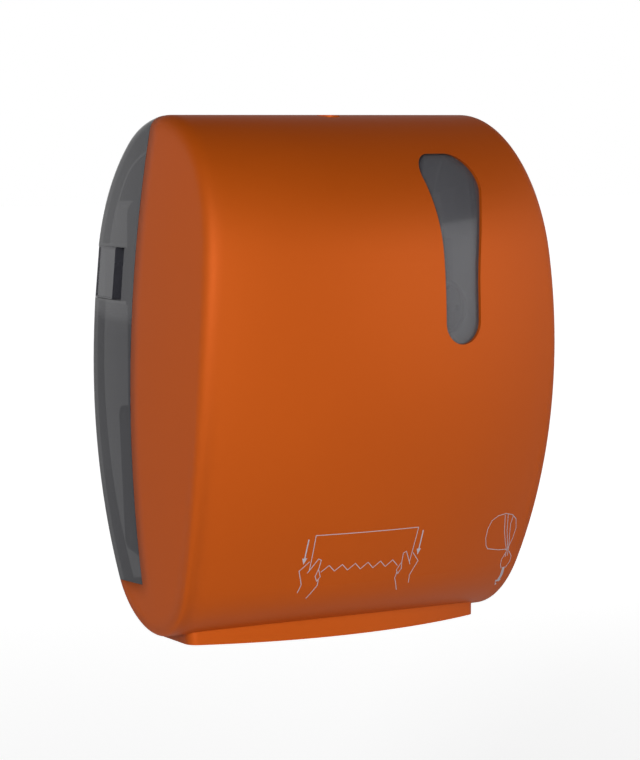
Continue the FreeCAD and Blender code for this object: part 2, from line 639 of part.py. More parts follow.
def frame_parts():
    back_plate()
    right = cheek()
    NODES["right_cheek"] = right
    left = mirrored(right)
    anchor = rod(2.3, -CHEEK_X - 14, -CHEEK_X - CHEEK_T, *SPRING_ANCHOR)
    NODES["left_cheek"] = left.fuse(anchor).removeSplitter()
    places = cheek_screw_places()
    NODES["cheek_screws"] = group([screw((v(x, -PLATE_T - 3, z), v(0, 1, 0)), 6, 1.3, 2.8, 1.8) for x, z in places])

    # Hinge pins, with heads outside the cover's eyes
    x0, x1 = CHEEK_X - 2, CHEEK_X + CHEEK_T + CHEEK_GAP + HINGE_EYE_W + 0.5
    pin = rod(HINGE_PIN_R, x0, x1 + 1.5, HINGE_Y, HINGE_Z).fuse(rod(HINGE_PIN_R + 1.5, x1, x1 + 1.5, HINGE_Y, HINGE_Z))
    NODES["hinge_pins"] = both(pin.removeSplitter())

    # Tie bars between the side plates, each held by a screw at both ends
    bars = []
    screws = []
    for y, z in TIE_BARS:
        bar = rod(TIE_R, -CHEEK_X, CHEEK_X, y, z)
        for side in (1, -1):
            bar = bar.cut(rod(TIE_SCREW_R, side * (CHEEK_X - 6) - 7, side * (CHEEK_X - 6) + 7, y, z))
            screws.append(screw((v(side * (CHEEK_X + CHEEK_T), y, z), v(-side, 0, 0)), 10, TIE_SCREW_R, 3.0, 1.6))
        bars.append(bar)
    NODES["tie_bars"] = group(bars)
    NODES["tie_screws"] = group(screws)

    # Flanged bushes that carry the drum shaft
    bush = rod(BUSH_R, CHEEK_X, CHEEK_X + CHEEK_T, DRUM_Y, DRUM_Z)
    bush = bush.fuse(rod(BUSH_R + 2, CHEEK_X - 1.2, CHEEK_X, DRUM_Y, DRUM_Z))
    bush = bush.cut(rod(SHAFT_R + RUN, CHEEK_X - 5, CHEEK_X + 5, DRUM_Y, DRUM_Z))
    NODES["drum_bushes"] = both(bush)

    # Keeper for the lock's tongue: a bar that rises over the roll from a foot on the wall plate
    x0, x1 = KEEPER_X, KEEPER_X + KEEPER_W
    bar_z = TONGUE_Z - 6
    tab_y = LOCK_Y - TONGUE_W / 2 - 0.5
    foot_z = KEEPER_FOOT_Z + 6
    outline = [(-PLATE_T, foot_z), (-30, foot_z), (-46, bar_z), (tab_y, bar_z), (tab_y, TONGUE_Z + TONGUE_THICK + 2),
               (tab_y - 3, TONGUE_Z + TONGUE_THICK + 2), (tab_y - 3, bar_z - 5), (-48.5, bar_z - 5),
               (-32.5, foot_z - 5), (-PLATE_T, foot_z - 5)]
    bar = prism(outline, x0, x1)
    foot = box((x0 - 9, x1 + 9), (-PLATE_T - 3, -PLATE_T), (KEEPER_FOOT_Z - 8, foot_z))
    rib = prism([(-PLATE_T - 3, foot_z - 5), (-PLATE_T - 3, foot_z - 14), (-30, foot_z - 5)], x0 + 5, x0 + 7.5)
    keeper = joined(bar, foot, rib)
    for place in keeper_screw_places():
        keeper = keeper.cut(stud(1.7, -20, 0, place, KEEPER_FOOT_Z))
    NODES["latch_keeper"] = keeper
    NODES["keeper_screws"] = group([screw((v(place, -PLATE_T - 3, KEEPER_FOOT_Z), v(0, 1, 0)), 6, 1.3, 2.8, 1.8)
                                    for place in keeper_screw_places()])


def guide_parts():
    half = CHEEK_X
    # Front guide: a curved sheet round the drum that runs down into the outlet, ribbed on its outside
    curve = sector(GUIDE_R, GUIDE_R + GUIDE_T, GUIDE_FROM, GUIDE_TO, -half, half, DRUM_Y, DRUM_Z)
    foot = polar(DRUM_Y, DRUM_Z, GUIDE_R, GUIDE_TO)
    chute = box((-half, half), (foot[0] - 1.4, foot[0] + 0.6), (CHUTE_LOW_Z, foot[1] + 1))
    ribs = [sector(GUIDE_R + 1, GUIDE_R + GUIDE_T + 4, GUIDE_FROM, GUIDE_TO - 6, x - 1, x + 1, DRUM_Y, DRUM_Z)
            for x in (-90, -54, -18, 18, 54, 90)]
    guide = joined(curve, chute, *ribs)
    comb_end = (COMB_Y + 4.0, CHUTE_LOW_Z + 35)
    guide_end = (foot[0] - 3.4, foot[1] + 3)
    blocks = []
    for y, z in (guide_end, comb_end):
        blocks.append(both(box((CHEEK_X - 8, CHEEK_X), (y - 3, y + 3), (z - 4, z + 4))))
    guide = joined(guide, *blocks[0].Solids)

    # Rear chute plate with a finger in each groove of the drum
    top_z = DRUM_Z - DRUM_R - 6
    plate = box((-half, half), (COMB_Y, COMB_Y + COMB_T), (CHUTE_LOW_Z, top_z))
    tip_z = DRUM_Z - math.sqrt((DRUM_R - GROOVE_DEPTH + 0.8) ** 2 - (COMB_Y - DRUM_Y) ** 2)
    fingers = [box((x - 1.2, x + 1.2), (COMB_Y, COMB_Y + 3.4), (top_z - 6, tip_z)) for x in groove_places()]
    lips = box((-half, half), (COMB_Y, COMB_Y + 7), (CHUTE_LOW_Z, CHUTE_LOW_Z + 2))
    comb = joined(plate, lips, *fingers, *blocks[1].Solids)
    screws = []
    for y, z in (guide_end, comb_end):
        hole = rod(GUIDE_SCREW_R, -CHEEK_X - 5, CHEEK_X + 5, y, z)
        guide = guide.cut(hole)
        comb = comb.cut(hole)
        for side in ("left_cheek", "right_cheek"):
            NODES[side] = NODES[side].cut(hole)
        for way in (1, -1):
            screws.append(screw((v(way * (CHEEK_X + CHEEK_T), y, z), v(-way, 0, 0)), CHEEK_T + 6, GUIDE_SCREW_R, 2.4, 1.4))
    NODES["front_guide"] = guide
    NODES["stripper_comb"] = comb
    NODES["guide_screws"] = group(screws)


def groove_places():
    return [(i - (GROOVE_COUNT - 1) / 2) * GROOVE_PITCH for i in range(GROOVE_COUNT)]


# Drum, blade and what turns with them

def drum_axes(p):
    """From (outwards through the slot, along the turn) to (y, z)."""
    a = math.radians(SLOT_ANGLE)
    return (DRUM_Y + p[0] * math.cos(a) - p[1] * math.sin(a), DRUM_Z + p[0] * math.sin(a) + p[1] * math.cos(a))


def drum_parts():
    seam = SLOT_ANGLE + 180 - 4.5
    inner_r = DRUM_R - DRUM_WALL
    halves = {"drum_half_lower": (SLOT_ANGLE + SLOT_AFTER, seam - 0.2),
              "drum_half_upper": (seam + 0.2, SLOT_ANGLE + 360 - SLOT_BEFORE)}
    for name, (a0, a1) in halves.items():
        half = sector(inner_r, DRUM_R, a0, a1, -DRUM_HALF, DRUM_HALF, DRUM_Y, DRUM_Z)
        for x in groove_places():
            half = half.cut(tube(DRUM_R + 1, DRUM_R - GROOVE_DEPTH, x - GROOVE_W / 2, x + GROOVE_W / 2,
                                 DRUM_Y, DRUM_Z))
        NODES[name] = half
    bands = []
    for x in groove_places()[:-1]:
        middle = x + GROOVE_PITCH / 2
        bands.append(sector(DRUM_R, DRUM_R + BAND_T, SLOT_ANGLE + SLOT_AFTER + 1, SLOT_ANGLE + 359 - SLOT_BEFORE,
                            middle - BAND_W / 2, middle + BAND_W / 2, DRUM_Y, DRUM_Z))
    NODES["grip_bands"] = group(bands)

    # End discs: rim, hub, blade pivot and, on the left, the slot of the cam follower
    pivot = drum_axes(CARRIER_PIVOT)
    x0, x1 = DRUM_HALF, DRUM_HALF + DRUM_END_T
    disc = rod(DRUM_R, x0, x1, DRUM_Y, DRUM_Z)
    spigot = sector(inner_r - 3, inner_r - 0.1, SLOT_ANGLE + SLOT_AFTER + 4, SLOT_ANGLE + 356 - SLOT_BEFORE - 22,
                    x0 - 4, x0, DRUM_Y, DRUM_Z)
    hub = rod(9, x0 - 6, x1, DRUM_Y, DRUM_Z)
    disc = joined(disc, spigot, hub)
    disc = disc.cut(rod(SHAFT_R, x0 - 20, x1 + 20, DRUM_Y, DRUM_Z)).cut(rod(PIVOT_R, x0 - 20, x1 + 20, *pivot))
    for angle in (70, 130, 190, 250):
        hole = polar(DRUM_Y, DRUM_Z, 24, SLOT_ANGLE + angle)
        disc = disc.cut(rod(6, x0 - 20, x1 + 20, *hole))
    NODES["drum_end_right"] = disc
    reach = math.dist(CARRIER_PIVOT, FOLLOWER)
    start = math.degrees(math.atan2(FOLLOWER[1] - CARRIER_PIVOT[1], FOLLOWER[0] - CARRIER_PIVOT[0])) + SLOT_ANGLE
    play = FOLLOWER_R + 0.6
    slot = sector(reach - play, reach + play, start - BLADE_LEAN - 8, start + 8, -x1 - 1, -x0 + 1, *pivot)
    NODES["drum_end_left"] = mirrored(disc).cut(slot)
    NODES["drum_shaft"] = rod(SHAFT_R, -CHEEK_X - 9, CHEEK_X + 15, DRUM_Y, DRUM_Z)
    pin = rod(PIVOT_R, CARRIER_HALF - 6, DRUM_HALF + DRUM_END_T, *pivot)
    NODES["blade_pivot_pins"] = both(pin)

    # Crank on the left end of the shaft, and the wheel for feeding by hand on the right end
    crank_x = -CHEEK_X - CHEEK_T - 2
    disc = rod(CRANK_R + 6, crank_x - 4, crank_x, DRUM_Y, DRUM_Z).cut(rod(SHAFT_R, -200, 0, DRUM_Y, DRUM_Z))
    pin_place = crank_pin_place()
    NODES["crank_disc"] = disc.cut(rod(2.0, -200, 0, *pin_place))
    NODES["crank_pin"] = rod(2.0, crank_x - 10, crank_x, *pin_place)
    feed_wheel()


CRANK_R = 20.0
SPRING_ANCHOR = (-24.0, 140.0)
WHEEL_R = 54.0
WHEEL_W = 9.0
WHEEL_NOTCHES = 40


def crank_pin_place():
    """At rest the crank points at the spring's anchor."""
    angle = math.degrees(math.atan2(SPRING_ANCHOR[1] - DRUM_Z, SPRING_ANCHOR[0] - DRUM_Y))
    return polar(DRUM_Y, DRUM_Z, CRANK_R, angle)


def feed_wheel():
    """Spoked wheel with a notched rim."""
    x0 = CHEEK_X + CHEEK_T + 2
    x1 = x0 + WHEEL_W
    wheel = tube(WHEEL_R, WHEEL_R - 6, x0, x1, DRUM_Y, DRUM_Z)
    web = tube(WHEEL_R - 5, 9, x0 + 3, x0 + 5.5, DRUM_Y, DRUM_Z)
    hub = rod(10, x0, x1, DRUM_Y, DRUM_Z)
    wheel = joined(wheel, web, hub).cut(rod(SHAFT_R, x0 - 1, x1 + 1, DRUM_Y, DRUM_Z))
    for i in range(5):
        hole = sector(20, WHEEL_R - 12, 72 * i + 12, 72 * i + 60, x0 - 1, x1 + 1, DRUM_Y, DRUM_Z)
        wheel = wheel.cut(hole)
    for i in range(WHEEL_NOTCHES):
        y, z = polar(DRUM_Y, DRUM_Z, WHEEL_R + 1.2, 360 * i / WHEEL_NOTCHES)
        wheel = wheel.cut(rod(2.2, x0 - 1, x1 + 1, y, z))
    NODES["feed_wheel"] = wheel


def blade_parts():
    lean = math.radians(BLADE_LEAN)
    way = (math.cos(lean), math.sin(lean))
    back = (math.sin(lean), -math.cos(lean))
    root = (BLADE_TIP[0] - BLADE_WIDTH * way[0], BLADE_TIP[1] - BLADE_WIDTH * way[1])

    def place(x, along, off=0.0):
        p = (root[0] + along * way[0] + off * back[0], root[1] + along * way[1] + off * back[1])
        return v(x, *drum_axes(p))
    count = int(2 * BLADE_HALF / TOOTH_PITCH)
    start = -count * TOOTH_PITCH / 2
    edge = []
    for i in range(count):
        edge.append((start + i * TOOTH_PITCH, BLADE_WIDTH - TOOTH_DEPTH))
        edge.append((start + (i + 0.5) * TOOTH_PITCH, BLADE_WIDTH))
    edge.append((start + count * TOOTH_PITCH, BLADE_WIDTH - TOOTH_DEPTH))
    outline = [(start, 0.0)] + edge + [(-start, 0.0)]
    wire = Part.makePolygon([place(x, s) for x, s in outline + outline[:1]])
    thick = place(0, 0, BLADE_T) - place(0, 0)
    blade = Part.Face(wire).extrude(thick)
    normal = thick * (1 / BLADE_T)
    screw_x = [-60.0, 0.0, 60.0]
    for x in screw_x:
        blade = blade.cut(Part.makeCylinder(1.5, 4, place(x, 3.2, -2), normal))
    NODES["cutter_blade"] = blade

    # Carrier: a bar with the blade's seat, a web to the pivot barrel, and the follower pin at its left end
    def seat(points):
        wire = Part.makePolygon([place(-CARRIER_HALF, *p) for p in points + points[:1]])
        return Part.Face(wire).extrude(v(2 * CARRIER_HALF, 0, 0))
    bar = seat([(-1.5, BLADE_T), (7.0, BLADE_T), (6.0, BLADE_T + 2.6), (-1.5, BLADE_T + 2.6)])
    pivot = drum_axes(CARRIER_PIVOT)
    barrel = rod(3.8, -CARRIER_HALF + 0.3, CARRIER_HALF - 0.3, *pivot)
    near = [drum_axes((CARRIER_PIVOT[0] + d, CARRIER_PIVOT[1])) for d in (-1.4, 1.4)]
    far = [place(0, -1.5, BLADE_T + 2.0), place(0, 1.6, BLADE_T + 2.0)]
    web = prism([near[0], near[1], (far[1].y, far[1].z), (far[0].y, far[0].z)], -CARRIER_HALF, CARRIER_HALF)
    carrier = joined(bar, barrel, web)
    for i in range(5):
        x = -72.0 + 36.0 * i
        gap = box((x - 12, x + 12), (-200, 0), (0, 300)).common(web)
        keep = barrel.fuse(bar)
        carrier = carrier.cut(gap.cut(keep))
    for side in (1, -1):
        hole = rod(PIVOT_R + RUN, CARRIER_HALF - 8, CARRIER_HALF + 1, *pivot)
        carrier = carrier.cut(hole if side > 0 else mirrored(hole))
    for x in screw_x:
        carrier = carrier.cut(Part.makeCylinder(1.0, 3, place(x, 3.2, BLADE_T), normal))
    NODES["blade_carrier"] = carrier.removeSplitter()
    follower = rod(FOLLOWER_R, -CHEEK_X + 1.4, -CARRIER_HALF, *drum_axes(FOLLOWER))
    NODES["cam_follower"] = follower
    NODES["blade_screws"] = group([screw((place(x, 3.2), normal), 3.0, 1.0, 2.0, 0.9) for x in screw_x])

    # Rail on the left side plate: the follower runs inside it and swings out through the gap
    track = math.hypot(*FOLLOWER) + FOLLOWER_R + RAIL_GAP
    foot = tube(RAIL_FOOT_R, track - 4, -CHEEK_X, -CHEEK_X + RAIL_FOOT_T, DRUM_Y, DRUM_Z)
    rail = tube(track + RAIL_T, track, -CHEEK_X, -CHEEK_X + RAIL_H, DRUM_Y, DRUM_Z)
    gate = sector(track - 2, track + RAIL_T + 2, SLOT_ANGLE - GATE_BEFORE, SLOT_ANGLE + GATE_AFTER,
                  -CHEEK_X + RAIL_FOOT_T, -CHEEK_X + RAIL_H + 1, DRUM_Y, DRUM_Z)
    NODES["cam_ring"] = foot.fuse(rail.cut(gate)).removeSplitter()


# Pinch roller

def pinch_parts():
    roller, pivot = pinch_places()
    arm_x = CHEEK_X - 4.2
    arm = rod(6.5, arm_x, arm_x + 3.2, *roller).fuse(rod(6.5, arm_x, arm_x + 3.2, *pivot))
    a = polar(0, 0, 6.5, PINCH_ANGLE)
    web = prism([(roller[0] + a[0], roller[1] + a[1]), (pivot[0] + a[0], pivot[1] + a[1]),
                 (pivot[0] - a[0], pivot[1] - a[1]), (roller[0] - a[0], roller[1] - a[1])], arm_x, arm_x + 3.2)
    arm = joined(arm, web)
    cross = rod(5.5, -arm_x, arm_x, *pivot)
    yoke = joined(arm, mirrored(arm), cross)
    yoke = yoke.cut(rod(PINCH_SHAFT_R + RUN, -200, 200, *pivot)).cut(rod(PINCH_SHAFT_R + RUN, -200, 200, *roller))
    NODES["pinch_yoke"] = yoke
    NODES["pinch_pivot_rod"] = rod(PINCH_SHAFT_R, -CHEEK_X - CHEEK_T, CHEEK_X + CHEEK_T, *pivot)
    NODES["pinch_shaft"] = rod(PINCH_SHAFT_R, -arm_x - 3, arm_x + 3, *roller)
    rollers = []
    for x in PINCH_ROLLER_X:
        half = PINCH_ROLLER_W / 2
        rubber = rod(PINCH_R, x - half, x + half, *roller)
        rims = [e for e in rubber.Edges if abs(e.CenterOfMass.x - x) > half - 0.1 and e.Length > PINCH_R]
        rubber = rubber.makeFillet(1.0, rims)
        rollers.append(rubber.cut(rod(PINCH_SHAFT_R, x - 50, x + 50, *roller)))
    NODES["pinch_rollers"] = group(rollers)


# Roll holder

def roll_holder_parts():
    boss_x = ARM_X - ARM_T / 2
    reach = [(ARM_Y - 2, ROLL_Z - 9), (ARM_Y - 2, ROLL_Z + 9), (ROLL_Y, ROLL_Z + ARM_EYE_R),
             (ROLL_Y, ROLL_Z - ARM_EYE_R)]
    arm = prism(reach, boss_x, boss_x + ARM_T)
    knuckle = post(ARM_KNUCKLE_R, ROLL_Z - 12, ROLL_Z + 12, ARM_X, ARM_Y)
    eye = rod(ARM_EYE_R, boss_x, boss_x + ARM_T, ROLL_Y, ROLL_Z)
    boss = rod(9, boss_x - 2.7, boss_x, ROLL_Y, ROLL_Z)
    spigot = rod(SPIGOT_R, HUB_IN_X + 2, boss_x, ROLL_Y, ROLL_Z)
    rib = prism([(ARM_Y - 8, ROLL_Z - 1.2), (ARM_Y - 8, ROLL_Z + 1.2), (ROLL_Y + 12, ROLL_Z + 1.2),
                 (ROLL_Y + 12, ROLL_Z - 1.2)], boss_x - 2.5, boss_x)
    arm = joined(arm, knuckle, eye, boss, spigot, rib)
    arm = arm.cut(post(ARM_PIN_R + RUN, ROLL_Z - 20, ROLL_Z + 20, ARM_X, ARM_Y))
    arm = arm.cut(rod(1.5, HUB_IN_X, HUB_IN_X + 12, ROLL_Y, ROLL_Z))
    NODES["roll_arm_right"] = arm
    NODES["roll_arm_left"] = mirrored(arm)
    pin = post(ARM_PIN_R, ROLL_Z - 18, ROLL_Z + 18, ARM_X, ARM_Y).fuse(post(ARM_PIN_R + 1.2, ROLL_Z + 18, ROLL_Z + 19.5,
                                                                            ARM_X, ARM_Y))
    NODES["arm_pins"] = both(pin.removeSplitter())

    # Hubs that hold the roll's core
    out_x = boss_x - 3.0
    flange = rod(HUB_R + 2, out_x - 2, out_x, ROLL_Y, ROLL_Z)
    plug = Part.makeCone(HUB_R - 2, HUB_R, out_x - 2 - HUB_IN_X, v(HUB_IN_X, ROLL_Y, ROLL_Z), v(1, 0, 0))
    hub = flange.fuse(plug)
    for i in range(6):
        notch = box((HUB_IN_X - 1, out_x - 4), (ROLL_Y + HUB_R - 3.5, ROLL_Y + HUB_R + 5), (ROLL_Z - 2.5, ROLL_Z + 2.5))
        notch.rotate(v(0, ROLL_Y, ROLL_Z), v(1, 0, 0), 60 * i)
        hub = hub.cut(notch)
    hub = hub.cut(rod(SPIGOT_R + RUN, HUB_IN_X - 1, out_x + 1, ROLL_Y, ROLL_Z)).removeSplitter()
    NODES["core_hub_right"] = hub
    NODES["core_hub_left"] = mirrored(hub)
    cap = screw((v(HUB_IN_X - 0.3, ROLL_Y, ROLL_Z), v(1, 0, 0)), 12, 1.5, 8.0, 1.6)
    NODES["hub_screw_right"] = cap
    NODES["hub_screw_left"] = mirrored(cap)


HUB_IN_X = 88.0
HUB_R = 17.5
SPIGOT_R = 6.0


# Springs: each is one wire, its centre line quarter-turn arcs on a helix

def coil(start, way, radius, wire_r, pitch, turns, legs=()):
    """A wire wound about the line from start along way. Prints the least gap between turns."""
    way = Vector(way).normalize()
    side = way.cross(v(0.3, 0.5, 0.81)).normalize()
    other = way.cross(side)

    def at(t):
        a = 2 * math.pi * t
        return start + way * (pitch * t) + side * (radius * math.cos(a)) + other * (radius * math.sin(a))
    edges = []
    steps = int(turns * 4)
    for i in range(steps):
        edges.append(Part.Arc(at(i / 4), at((i + 0.5) / 4), at((i + 1) / 4)).toShape())
    path = Part.Wire(edges)
    tangent = path.Edges[0].tangentAt(path.Edges[0].FirstParameter)
    ring = Part.Wire([Part.Circle(at(0), tangent, wire_r).toShape()])
    solid = path.makePipeShell([ring], True, False)
    gap = math.hypot(pitch, 0) - 2 * wire_r
    print("coil of %d turns, least gap between turns %.2f mm" % (turns, gap))
    return solid


def spring_parts():
    a = crank_pin_place()
    x = -CHEEK_X - 11.5
    start = v(x, *a)
    end = v(x, *SPRING_ANCHOR)
    way = (end - start).normalize()
    length = (end - start).Length
    eye_r = 3.0
    turns = 16
    pitch = (length - 4 * eye_r - 6) / turns
    body = coil(start + way * (2 * eye_r + 1.0), way, 3.6, 0.5, pitch, turns)
    eyes = []
    for centre, sign in ((start, 1), (end, -1)):
        eye = Part.makeTorus(eye_r, 0.5, centre, v(1, 0, 0))
        tail = Part.makeCylinder(0.5, 6.0, centre + way * (sign * (eye_r - 0.2)), way * sign)
        eyes += [eye, tail]
    NODES["kick_spring"] = group([body, joined(eyes[0], eyes[1]), joined(eyes[2], eyes[3])])


def housing_parts():
    """Tub over the crank and spring, on the outside of the left side plate."""
    x_in = -CHEEK_X - CHEEK_T
    x_out = -HOUSING_X
    outline = [(-8.5, 162), (-118, 162), (-128, 122), (-122, 74), (-97, 55), (-40, 55), (-18, 60)]
    hollow_line = [(-11.5, 159.4), (-116, 159.4), (-125.3, 122), (-119.8, 75.2), (-96, 57.6), (-40.4, 57.6),
                   (-20.2, 62.2)]
    tub = rounded_prism(outline, x_out, x_in, 7)
    hollow = rounded_prism(hollow_line, x_out + HOUSING_WALL, x_in + 1, 5)
    tub = tub.cut(hollow)
    panel = rounded_prism([(-30, 98), (-118, 98), (-116, 78), (-104, 69), (-30, 69)], x_out - 1, x_out + 0.8, 3)
    tub = tub.cut(panel)
    screws = []
    for y, z in HOUSING_SCREWS:
        boss = rod(4.0, x_out + 1, x_in, y, z)
        tub = tub.fuse(boss).cut(rod(3.1, x_out - 1, x_out + 2.0, y, z)).cut(rod(1.5, x_out, x_in + 1, y, z))
        NODES["left_cheek"] = NODES["left_cheek"].cut(rod(1.5, x_in - 1, x_in + CHEEK_T + 1, y, z))
        screws.append(screw((v(x_out + 2.0, y, z), v(1, 0, 0)), x_in - x_out, 1.5, 2.9, 1.7))
    NODES["left_housing"] = tub.removeSplitter()
    NODES["housing_screws"] = group(screws)


HOUSING_X = 127.0
HOUSING_WALL = 1.9
HOUSING_SCREWS = ((-16.5, 154), (-112, 154), (-27, 66))


def export():
    os.makedirs("parts", exist_ok=True)
    for name, shape in NODES.items():
        placed = shape.copy()
        placed.translate(v(0, 0, -MOUNT_Z))
        solids = placed.Solids
        whole = solids[0] if len(solids) == 1 else Part.makeCompound(solids)
        whole.exportStep("parts/%s.step" % name)
        print("%-18s solids %d  valid %s  volume %.1f cm3" % (name, len(solids), whole.isValid(), whole.Volume / 1000))


cover_parts()
lock_parts()
frame_parts()
guide_parts()
drum_parts()
blade_parts()
pinch_parts()
roll_holder_parts()
spring_parts()
housing_parts()
export()
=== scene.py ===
import math
import bpy
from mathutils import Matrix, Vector


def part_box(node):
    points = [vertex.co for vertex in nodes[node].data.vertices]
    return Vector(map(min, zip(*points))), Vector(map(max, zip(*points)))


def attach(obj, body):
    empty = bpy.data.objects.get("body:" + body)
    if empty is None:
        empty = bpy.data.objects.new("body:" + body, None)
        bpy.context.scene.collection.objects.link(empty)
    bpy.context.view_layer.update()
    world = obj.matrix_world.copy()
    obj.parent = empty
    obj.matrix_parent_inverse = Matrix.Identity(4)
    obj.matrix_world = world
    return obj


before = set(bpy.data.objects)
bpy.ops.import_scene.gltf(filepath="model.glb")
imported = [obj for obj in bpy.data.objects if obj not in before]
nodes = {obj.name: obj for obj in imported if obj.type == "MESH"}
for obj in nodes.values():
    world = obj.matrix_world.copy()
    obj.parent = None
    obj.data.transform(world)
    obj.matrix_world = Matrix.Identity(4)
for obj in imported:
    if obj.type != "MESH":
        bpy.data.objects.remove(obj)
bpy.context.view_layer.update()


# Wall plate, keeper of the lock, roll arms, cam ring, drum shells and blade carrier.
# They are injection moulded in grey plastic. The plate is screwed to the wall and carries
# all the others, and its mould was spark-eroded, which leaves a fine even grain.

def moulded_grain():
    """Slow change of tone, a fine mould grain and a little polish where it was handled."""
    if "moulded grain" in bpy.data.node_groups:
        return bpy.data.node_groups["moulded grain"]
    tree = bpy.data.node_groups.new("moulded grain", "ShaderNodeTree")
    for name, kind in (("Low Tone", "NodeSocketColor"), ("High Tone", "NodeSocketColor"),
                       ("Grain Scale", "NodeSocketFloat"), ("Low Roughness", "NodeSocketFloat"),
                       ("High Roughness", "NodeSocketFloat")):
        tree.interface.new_socket(name=name, in_out="INPUT", socket_type=kind)
    for name, kind in (("Tone", "NodeSocketColor"), ("Roughness", "NodeSocketFloat"),
                       ("Height", "NodeSocketFloat")):
        tree.interface.new_socket(name=name, in_out="OUTPUT", socket_type=kind)
    given = tree.nodes.new("NodeGroupInput")
    result = tree.nodes.new("NodeGroupOutput")
    place = tree.nodes.new("ShaderNodeTexCoord")
    slow = tree.nodes.new("ShaderNodeTexNoise")
    slow.inputs["Scale"].default_value = 9
    slow.inputs["Detail"].default_value = 3
    fine = tree.nodes.new("ShaderNodeTexNoise")
    fine.inputs["Detail"].default_value = 2
    tone = tree.nodes.new("ShaderNodeMix")
    tone.data_type = "RGBA"
    rough = tree.nodes.new("ShaderNodeMapRange")
    tree.links.new(place.outputs["Object"], slow.inputs["Vector"])
    tree.links.new(place.outputs["Object"], fine.inputs["Vector"])
    tree.links.new(given.outputs["Grain Scale"], fine.inputs["Scale"])
    tree.links.new(slow.outputs["Fac"], tone.inputs["Factor"])
    tree.links.new(given.outputs["Low Tone"], tone.inputs["A"])
    tree.links.new(given.outputs["High Tone"], tone.inputs["B"])
    tree.links.new(slow.outputs["Fac"], rough.inputs["Value"])
    tree.links.new(given.outputs["Low Roughness"], rough.inputs["To Min"])
    tree.links.new(given.outputs["High Roughness"], rough.inputs["To Max"])
    tree.links.new(tone.outputs["Result"], result.inputs["Tone"])
    tree.links.new(rough.outputs["Result"], result.inputs["Roughness"])
    tree.links.new(fine.outputs["Fac"], result.inputs["Height"])
    return tree


def rubbed_edges():
    """A mask that is white along sharp edges, broken up as handling breaks it up."""
    if "rubbed edges" in bpy.data.node_groups:
        return bpy.data.node_groups["rubbed edges"]
    tree = bpy.data.node_groups.new("rubbed edges", "ShaderNodeTree")
    for name in ("Reach", "Amount"):
        tree.interface.new_socket(name=name, in_out="INPUT", socket_type="NodeSocketFloat")
    tree.interface.new_socket(name="Wear", in_out="OUTPUT", socket_type="NodeSocketFloat")
    given = tree.nodes.new("NodeGroupInput")
    result = tree.nodes.new("NodeGroupOutput")
    rounded = tree.nodes.new("ShaderNodeBevel")
    rounded.samples = 4
    surface = tree.nodes.new("ShaderNodeNewGeometry")
    along = tree.nodes.new("ShaderNodeVectorMath")
    along.operation = "DOT_PRODUCT"
    edge = tree.nodes.new("ShaderNodeMapRange")
    edge.inputs["From Min"].default_value = 0.985
    edge.inputs["From Max"].default_value = 0.80
    place = tree.nodes.new("ShaderNodeTexCoord")
    broken = tree.nodes.new("ShaderNodeTexNoise")
    broken.inputs["Scale"].default_value = 140
    broken.inputs["Detail"].default_value = 4
    scuffed = tree.nodes.new("ShaderNodeMapRange")
    scuffed.inputs["From Min"].default_value = 0.38
    scuffed.inputs["From Max"].default_value = 0.62
    both = tree.nodes.new("ShaderNodeMath")
    both.operation = "MULTIPLY"
    amount = tree.nodes.new("ShaderNodeMath")
    amount.operation = "MULTIPLY"
    tree.links.new(given.outputs["Reach"], rounded.inputs["Radius"])
    tree.links.new(rounded.outputs["Normal"], along.inputs[0])
    tree.links.new(surface.outputs["Normal"], along.inputs[1])
    tree.links.new(along.outputs["Value"], edge.inputs["Value"])
    tree.links.new(place.outputs["Object"], broken.inputs["Vector"])
    tree.links.new(broken.outputs["Fac"], scuffed.inputs["Value"])
    tree.links.new(edge.outputs["Result"], both.inputs[0])
    tree.links.new(scuffed.outputs["Result"], both.inputs[1])
    tree.links.new(both.outputs["Value"], amount.inputs[0])
    tree.links.new(given.outputs["Amount"], amount.inputs[1])
    tree.links.new(amount.outputs["Value"], result.inputs["Wear"])
    return tree


def moulded_skin(name, tones, roughness, grain=0.0006, relief=0.0001, worn=None, reach=0.0007, amount=0.6):
    """A moulded plastic with its mould grain and its edges rubbed to the worn tone."""
    skin = bpy.data.materials.new(name)
    skin.use_nodes = True
    tree = skin.node_tree
    plastic = tree.nodes["Principled BSDF"]
    surface = tree.nodes.new("ShaderNodeGroup")
    surface.node_tree = moulded_grain()
    surface.inputs["Low Tone"].default_value = (*tones[0], 1)
    surface.inputs["High Tone"].default_value = (*tones[1], 1)
    surface.inputs["Grain Scale"].default_value = 1 / grain
    surface.inputs["Low Roughness"].default_value = roughness[0]
    surface.inputs["High Roughness"].default_value = roughness[1]
    edges = tree.nodes.new("ShaderNodeGroup")
    edges.node_tree = rubbed_edges()
    edges.inputs["Reach"].default_value = reach
    edges.inputs["Amount"].default_value = amount
    worn_tone = tree.nodes.new("ShaderNodeMix")
    worn_tone.data_type = "RGBA"
    worn_tone.inputs["B"].default_value = (*(worn or [min(1.6 * t + 0.01, 1) for t in tones[1]]), 1)
    bump = tree.nodes.new("ShaderNodeBump")
    bump.inputs["Distance"].default_value = relief
    bump.inputs["Strength"].default_value = 0.6
    tree.links.new(edges.outputs["Wear"], worn_tone.inputs["Factor"])
    tree.links.new(surface.outputs["Tone"], worn_tone.inputs["A"])
    tree.links.new(worn_tone.outputs["Result"], plastic.inputs["Base Color"])
    tree.links.new(surface.outputs["Roughness"], plastic.inputs["Roughness"])
    tree.links.new(surface.outputs["Height"], bump.inputs["Height"])
    tree.links.new(bump.outputs["Normal"], plastic.inputs["Normal"])
    return skin


def dress(skin, *names):
    """Gives one finish to pieces that keep their shape."""
    for name in names:
        nodes[name].data.materials.clear()
        nodes[name].data.materials.append(skin)


